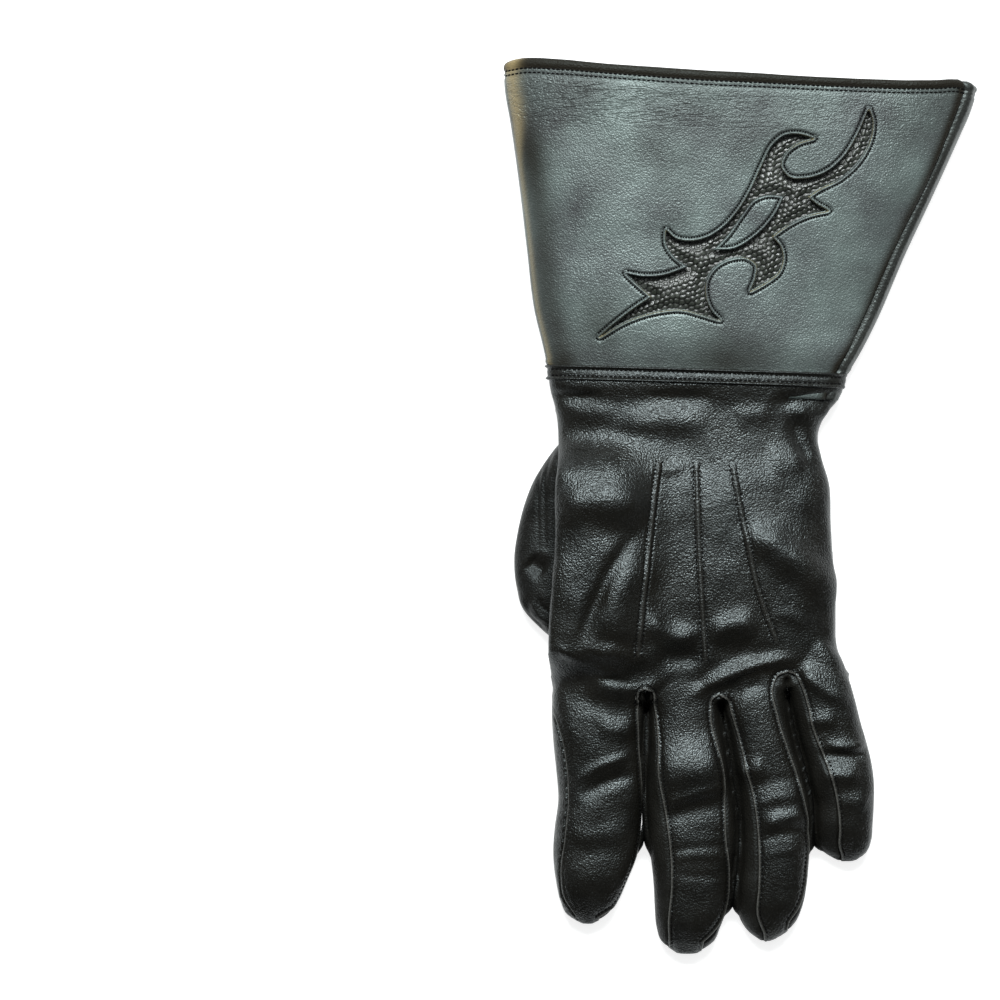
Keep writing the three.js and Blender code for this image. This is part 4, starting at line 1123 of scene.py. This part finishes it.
def grainedLeather(name, look):
    m = Leather(name)
    grain = m.cells(look["grain"])
    fine = m.noise(look["grain"] * 1.3, 1)
    wrinkles = m.noise(look["wrinkle"], 3)
    normal = m.bump(wrinkles, look["wrinkleDepth"])
    normal = m.bump(grain, -look["grainDepth"], normal)
    normal = m.bump(fine, look["grainDepth"], normal)
    if look.get("creased"):
        lines = m.noise(2.2, 2, (0.16, 1, 1), look["creased"])
        lines = m.spread(m.maths("ABSOLUTE", m.maths("SUBTRACT", lines, 0.5), 0), 0, 1, 0, 0.05)
        normal = m.bump(m.maths("MULTIPLY", lines, m.mark("crease")), 0.22, normal)
    colour = m.blend(m.spread(m.noise(look["patch"], 3), 0, 1), look["dark"], look["light"])
    # the grain's crowns get a lighter colour: wear on most pieces, and on the cuff's back and leaf a painted sheen
    colour = m.blend(m.spread(grain, 0, look["crownShare"], 0.5, 0.0), colour, look["wearAndSheen"])
    # lighter seam colour: wear on lapped edges, and a painted highlight on the raised points' crests
    if "seam" in look:
        colour = m.blend(m.mark("seam"), colour, look["seam"])
    if "hem" in look:
        colour = m.blend(m.mark("hem"), colour, look["hem"])
    if "shade" in look:
        colour = m.blend(m.mark("shade"), colour, look["shade"])
        level = m.maths("MULTIPLY", m.spread(m.noise(look["patch"], 3), look["shine"] * 0.6, look["shine"]),
                        m.spread(m.mark("shade"), 1, 0.1, 0, 1))
    else:
        level = look["shine"]
    if "warm" in look:
        # painted warm highlight on the cuff's rolled left edge
        colour = m.blend(m.mark("warm"), colour, look["warm"])
        # painted highlight on the opening's lit edge
        colour = m.blend(m.mark("cutEdge"), colour, look["cutEdge"])
    rough = m.spread(m.noise(look["patch"] * 0.6, 4), look["gloss"][0], look["gloss"][1])
    return m.finish(Base_Color=colour, Roughness=rough, Normal=normal, Specular_IOR_Level=level,
                    Specular_Tint=(*look["tint"], 1), IOR=look.get("density", 1.5))


softLook = {"grain": 0.62, "grainDepth": 0.14, "wrinkle": 2.6, "wrinkleDepth": 0.14, "patch": 12, "crownShare": 0.3,
            "tint": (0.88, 0.98, 1)}
handLeather = grainedLeather("smooth black leather", {
    **softLook, "grainDepth": 0.15, "wrinkle": 2.4, "wrinkleDepth": 0.12, "patch": 16,
    "dark": (0.003, 0.0025, 0.0017), "light": (0.0064, 0.0053, 0.0037), "wearAndSheen": (0.017, 0.015, 0.0115),
    "crownShare": 0.35, "gloss": (0.31, 0.4), "shine": 0.53, "seam": (0.095, 0.092, 0.084)})
gussetLeather = grainedLeather("gusset leather", {
    **softLook, "dark": (0.005, 0.0044, 0.0035), "light": (0.009, 0.008, 0.0062), "wearAndSheen": (0.02, 0.018, 0.015),
    "gloss": (0.42, 0.5), "shine": 0.36, "shade": (0.002, 0.002, 0.002)})
thumbLeather = grainedLeather("thumb leather", {
    **softLook, "dark": (0.004, 0.0036, 0.003), "light": (0.008, 0.0072, 0.006), "wearAndSheen": (0.018, 0.016, 0.013),
    "gloss": (0.38, 0.48), "shine": 0.25})
# The cuff is black leather like the hand: its light, bluish base colours and the bluish colour on its grain crowns are
# a painted sheen of the overhead light
cuffLeather = grainedLeather("stiff cuff leather with painted sheen", {
    "grain": 0.62, "grainDepth": 0.14, "wrinkle": 2.4, "wrinkleDepth": 0.1, "patch": 26, "creased": 3,
    "dark": (0.032, 0.031, 0.034), "light": (0.084, 0.106, 0.1), "wearAndSheen": (0.17, 0.19, 0.184), "crownShare": 0.35,
    "warm": (0.26, 0.2, 0.1), "cutEdge": (0.15, 0.13, 0.07), "hem": (0.05, 0.043, 0.036),
    "shade": (0.014, 0.012, 0.009), "gloss": (0.42, 0.52), "shine": 1.0, "tint": (0.86, 1, 0.98), "density": 1.62})
# the cuff's palm panel: the same leather without the painted sheen, so darker
edgeLeather = grainedLeather("cuff edge leather", {
    "grain": 0.8, "grainDepth": 0.1, "wrinkle": 3.5, "wrinkleDepth": 0.2, "patch": 20,
    "dark": (0.012, 0.012, 0.011), "light": (0.022, 0.022, 0.02), "wearAndSheen": (0.06, 0.06, 0.055), "crownShare": 0.25,
    "gloss": (0.38, 0.48), "shine": 0.6, "tint": (0.88, 1, 0.98)})
bandLeather = grainedLeather("band leather", {
    **softLook, "grainDepth": 0.13, "wrinkle": 2.5, "wrinkleDepth": 0.12, "patch": 10,
    "dark": (0.005, 0.0046, 0.0038), "light": (0.01, 0.0092, 0.0075), "wearAndSheen": (0.022, 0.02, 0.017),
    "gloss": (0.36, 0.46), "shine": 0.42})


def scaledLeather():
    m = Leather("reptile inlay leather")
    scales = m.mark("scales")
    colour = m.blend(m.spread(m.noise(7, 3), 0, 1), (0.016, 0.018, 0.0145), (0.04, 0.045, 0.037))
    colour = m.blend(m.spread(scales, 0, 1, 0.1, 0.7), (0.003, 0.003, 0.0025), colour)
    normal = m.bump(m.noise(0.5, 3), 0.06)
    rough = m.spread(m.noise(5, 2), 0.32, 0.44)
    return m.finish(Base_Color=colour, Roughness=rough, Normal=normal, Specular_IOR_Level=0.7)


def threadLook():
    m = Leather("black thread")
    strands = m.noise(0.25, 1, (1, 1, 0.4), 35)
    colour = m.blend(m.spread(strands, 0, 1), (0.0015, 0.0015, 0.0015), (0.005, 0.005, 0.005))
    return m.finish(Base_Color=colour, Roughness=0.85, Normal=m.bump(strands, 0.05), Specular_IOR_Level=0.08)


inlayLeather = scaledLeather()
thread = threadLook()

piece("HandBack", *handBack, handLeather, "hand_leather", ["hand_back"], {"seam": seamWearAndRidgeHighlight})
piece("HandPalm", *handPalm, handLeather, "hand_leather", ["hand_palm"])
for name, (points, triangles, shade) in fourchettes.items():
    nodes = ["fourchette_" + name]
    piece("Fourchette_" + name, points, triangles, gussetLeather, "gusset_leather", nodes, {"shade": shade})
piece("Thumb", *thumbWalled, thumbLeather, "hand_leather", ["thumb"])
piece("CuffBack", *cuffBack, cuffLeather, "cuff_leather", ["cuff_back"], cuffMarks)
piece("CuffPalm", *cuffPalm, edgeLeather, "cuff_leather", ["cuff_palm"])
piece("CuffLeaf", *cuffLeaf, cuffLeather, "cuff_leather", ["cuff_leaf"])
piece("CuffInlay", *cuffInlay, inlayLeather, "inlay_leather", ["cuff_inlay"], {"scales": scales})
piece("WristBand", *wristBand, bandLeather, "hand_leather", ["wrist_band"])


# Stitches: one thread end after another along lines laid on the leather

def surfaceOf(*cores):
    points, triangles = joined(cores)
    return BVHTree.FromPolygons(points.tolist(), triangles.tolist())


def laidOn(surface, line, lift):
    # the line laid on the leather, in parts where it leaves the leather or is broken
    parts, last = [[]], None
    for x, y in line:
        hit, normal, _, _ = surface.ray_cast(Vector((x, y, 80)), Vector((0, 0, -1)))
        if hit is None or normal.z < 0.12 or last is not None and (hit - last).length > 3:
            parts.append([])
        if hit is not None and normal.z >= 0.12:
            parts[-1].append(tuple(hit + normal * lift))
            last = hit
    return parts


def beside(line, offset):
    # the line moved to its left by the offset
    way = np.gradient(line, axis=0)
    way /= np.maximum(np.linalg.norm(way, axis=1), 1e-9)[:, None]
    return line + np.stack([-way[:, 1], way[:, 0]], 1) * offset


def contourOf(outline, distance):
    # the line round an outline at a distance outside it (below 0) or inside, without loops at the sharp corners
    turned = np.roll(outline, -1, 0)
    area = (outline[:, 0] * turned[:, 1] - turned[:, 0] * outline[:, 1]).sum()
    moved = beside(np.concatenate([outline, outline[:1]]), distance * np.sign(area))
    depth, _ = depthIn(moved, outline)
    return moved[(depth * np.sign(distance) > 0) & (np.abs(np.abs(depth) - abs(distance)) < 0.2 * abs(distance))]


def stitchTree():
    tree = bpy.data.node_groups.new("stitches", "GeometryNodeTree")
    tree.interface.new_socket("Lines", in_out="INPUT", socket_type="NodeSocketGeometry")
    for name, value in (("Pitch", 0.0018), ("Length", 0.0013), ("Width", 0.0004)):
        socket = tree.interface.new_socket(name, in_out="INPUT", socket_type="NodeSocketFloat")
        socket.default_value = value
    tree.interface.new_socket("Thread", in_out="INPUT", socket_type="NodeSocketMaterial")
    tree.interface.new_socket("Stitches", in_out="OUTPUT", socket_type="NodeSocketGeometry")
    given = addNode(tree, "NodeGroupInput")
    curve = addNode(tree, "GeometryNodeMeshToCurve", {"Mesh": given.outputs["Lines"]})
    even = addNode(tree, "GeometryNodeResampleCurve",
                   {"Curve": curve.outputs["Curve"], "Length": given.outputs["Pitch"]}, mode="LENGTH")
    ball = addNode(tree, "GeometryNodeMeshUVSphere", {"Segments": 8, "Rings": 6, "Radius": 0.5})
    size = addNode(tree, "ShaderNodeCombineXYZ",
                   {"X": given.outputs["Width"], "Y": given.outputs["Width"], "Z": given.outputs["Length"]})
    tangent = addNode(tree, "GeometryNodeInputTangent")
    align = addNode(tree, "FunctionNodeAlignRotationToVector", {"Vector": tangent.outputs["Tangent"]}, axis="Z")
    place = addNode(tree, "GeometryNodeInstanceOnPoints",
                    {"Points": even.outputs["Curve"], "Instance": ball.outputs["Mesh"],
                     "Rotation": align.outputs["Rotation"], "Scale": size.outputs["Vector"]})
    real = addNode(tree, "GeometryNodeRealizeInstances", {"Geometry": place.outputs["Instances"]})
    cover = addNode(tree, "GeometryNodeSetMaterial",
                    {"Geometry": real.outputs["Geometry"], "Material": given.outputs["Thread"]})
    addNode(tree, "NodeGroupOutput", {"Stitches": cover.outputs["Geometry"]})
    return tree


stitches = stitchTree()


def stitched(name, lines, kind):
    points, edges = [], []
    for line in (part for parts in lines for part in parts):
        if len(line) < 5:
            continue
        edges += [(len(points) + i, len(points) + i + 1) for i in range(len(line) - 1)]
        points += [tuple((Vector(p) + shift) / 1000) for p in line]
    mesh = bpy.data.meshes.new(name)
    mesh.from_pydata(points, edges, [])
    row = bpy.data.objects.new(name + "Lines", mesh)
    bpy.context.scene.collection.objects.link(row)
    modifier = row.modifiers.new("stitches", "NODES")
    modifier.node_group = stitches
    names = {s.name: s.identifier for s in stitches.interface.items_tree if s.in_out == "INPUT"}
    for size in ("Pitch", "Length", "Width"):
        modifier[names[size]] = kind[size.lower()] / 1000
    modifier[names["Thread"]] = thread
    made = bpy.data.meshes.new_from_object(row.evaluated_get(bpy.context.evaluated_depsgraph_get()))
    bpy.data.objects.remove(row)
    made.name = name
    made.polygons.foreach_set("use_smooth", np.ones(len(made.polygons), bool))
    thing = bpy.data.objects.new(name, made)
    bpy.context.scene.collection.objects.link(thing)
    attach(thing, "root")
    print(name, len(made.polygons), "faces")
    return thing


print("stitches")
handSurface = surfaceOf(backCore)
cuffSurface = surfaceOf(cuffCore, leafCore)
bandSurface = surfaceOf(bandCore)
handStitches = {"pitch": 1.6, "length": 1.05, "width": 0.6, "out": 1.5, "lift": 0.05, "pointLift": 0.03}
handLines = [laidOn(handSurface, beside(line, offset), handStitches["pointLift"])
             for line in raised["lines"] for offset in (-raised["width"], raised["width"])]
handLines += [laidOn(handSurface, contourOf(sides["outline"], -handStitches["out"]), handStitches["lift"])
              for sides in slotOutlines.values()]
stitched("HandStitches", handLines, handStitches)

hemStitches = {"pitch": 1.8, "length": 1.45, "width": 0.7, "insets": (4.5, 6.1), "lift": 0.05}
hemLines = []
for inset in hemStitches["insets"]:
    q = np.linspace(0.985, 0.06, 300)
    places = cuffPlace(q, np.full(len(q), 1 - inset / cuff["slope"] / glove["cuffLength"]))
    hemLines.append(laidOn(cuffSurface, places[:, :2], hemStitches["lift"]))
stitched("HemStitches", hemLines, hemStitches)

rimLines = [laidOn(cuffSurface, contourOf(flame, -rimStitches["out"]), rimStitches["lift"]),
            laidOn(cuffSurface, contourOf(leaf, rimStitches["leafIn"]), rimStitches["lift"])]
stitched("RimStitches", rimLines, rimStitches)

bandStitches = {"pitch": 1.75, "length": 1.35, "width": 0.6, "rows": (-0.42, 0.4), "lift": 0.05}
bandLines = []
for v in bandStitches["rows"]:
    x = np.linspace(-56, 52.5, 260)
    line = np.stack([x, bandCentre(x) - v * band["half"]], 1)
    bandLines.append(laidOn(bandSurface, line, bandStitches["lift"]))
stitched("BandStitches", bandLines, bandStitches)

# Floor, lights and camera
print("stage")
floorMesh = bpy.data.meshes.new("Floor")
corners = [(x * 3, y * 3, -0.0003) for x, y in ((-1, -1), (1, -1), (1, 1), (-1, 1))]  # in metres
floorMesh.from_pydata(corners, [], [(0, 1, 2, 3)])
floor = bpy.data.objects.new("Floor", floorMesh)
bpy.context.scene.collection.objects.link(floor)
paper = bpy.data.materials.new("white paper")
paper.use_nodes = True
paperLook = {"Base Color": (0.5, 0.5, 0.5, 1), "Roughness": 0.9, "Emission Color": (1, 1, 1, 1),
             "Emission Strength": 0.82}
for name, value in paperLook.items():
    paper.node_tree.nodes["Principled BSDF"].inputs[name].default_value = value
floorMesh.materials.append(paper)

scene = bpy.context.scene
world = bpy.data.worlds.new("Studio")
scene.world = world
world.use_nodes = True
world.node_tree.nodes["Background"].inputs["Color"].default_value = (0.97, 1, 1, 1)
world.node_tree.nodes["Background"].inputs["Strength"].default_value = 0.05


def softLight(name, place, size, glow, aim=(0, 0, 0.01)):
    # glow is the light's own brightness, as bright as white paper at 1
    light = bpy.data.lights.new(name, "AREA")
    light.shape = "RECTANGLE"
    light.size, light.size_y = size
    light.energy = glow * math.pi * size[0] * size[1]
    light.color = (0.95, 1, 1)
    lamp = bpy.data.objects.new(name, light)
    lamp.location = place
    lamp.rotation_euler = (Vector(aim) - Vector(place)).to_track_quat("-Z", "Y").to_euler()
    scene.collection.objects.link(lamp)


softLight("Window", (-0.06, 0.74, 1.04), (0.75, 0.3), 38)
softLight("Overhead", (0.08, 0.72, 1.85), (1.5, 1.3), 1.5)

camera = bpy.data.objects.new("Camera", bpy.data.cameras.new("Camera"))
viewX, viewY = drawn([drawing["centre"]] * 2)
distance = drawing["distance"] / 1000
camera.location = ((viewX + shift.x) / 1000, (viewY + shift.y) / 1000, distance + drawing["plane"] / 1000)
camera.data.sensor_width = 36
camera.data.lens = camera.data.sensor_width * distance / (2 * drawing["centre"] * drawing["square"] / 1000)
camera.data.clip_end = 20
scene.collection.objects.link(camera)
scene.camera = camera
scene.view_settings.view_transform = "Standard"
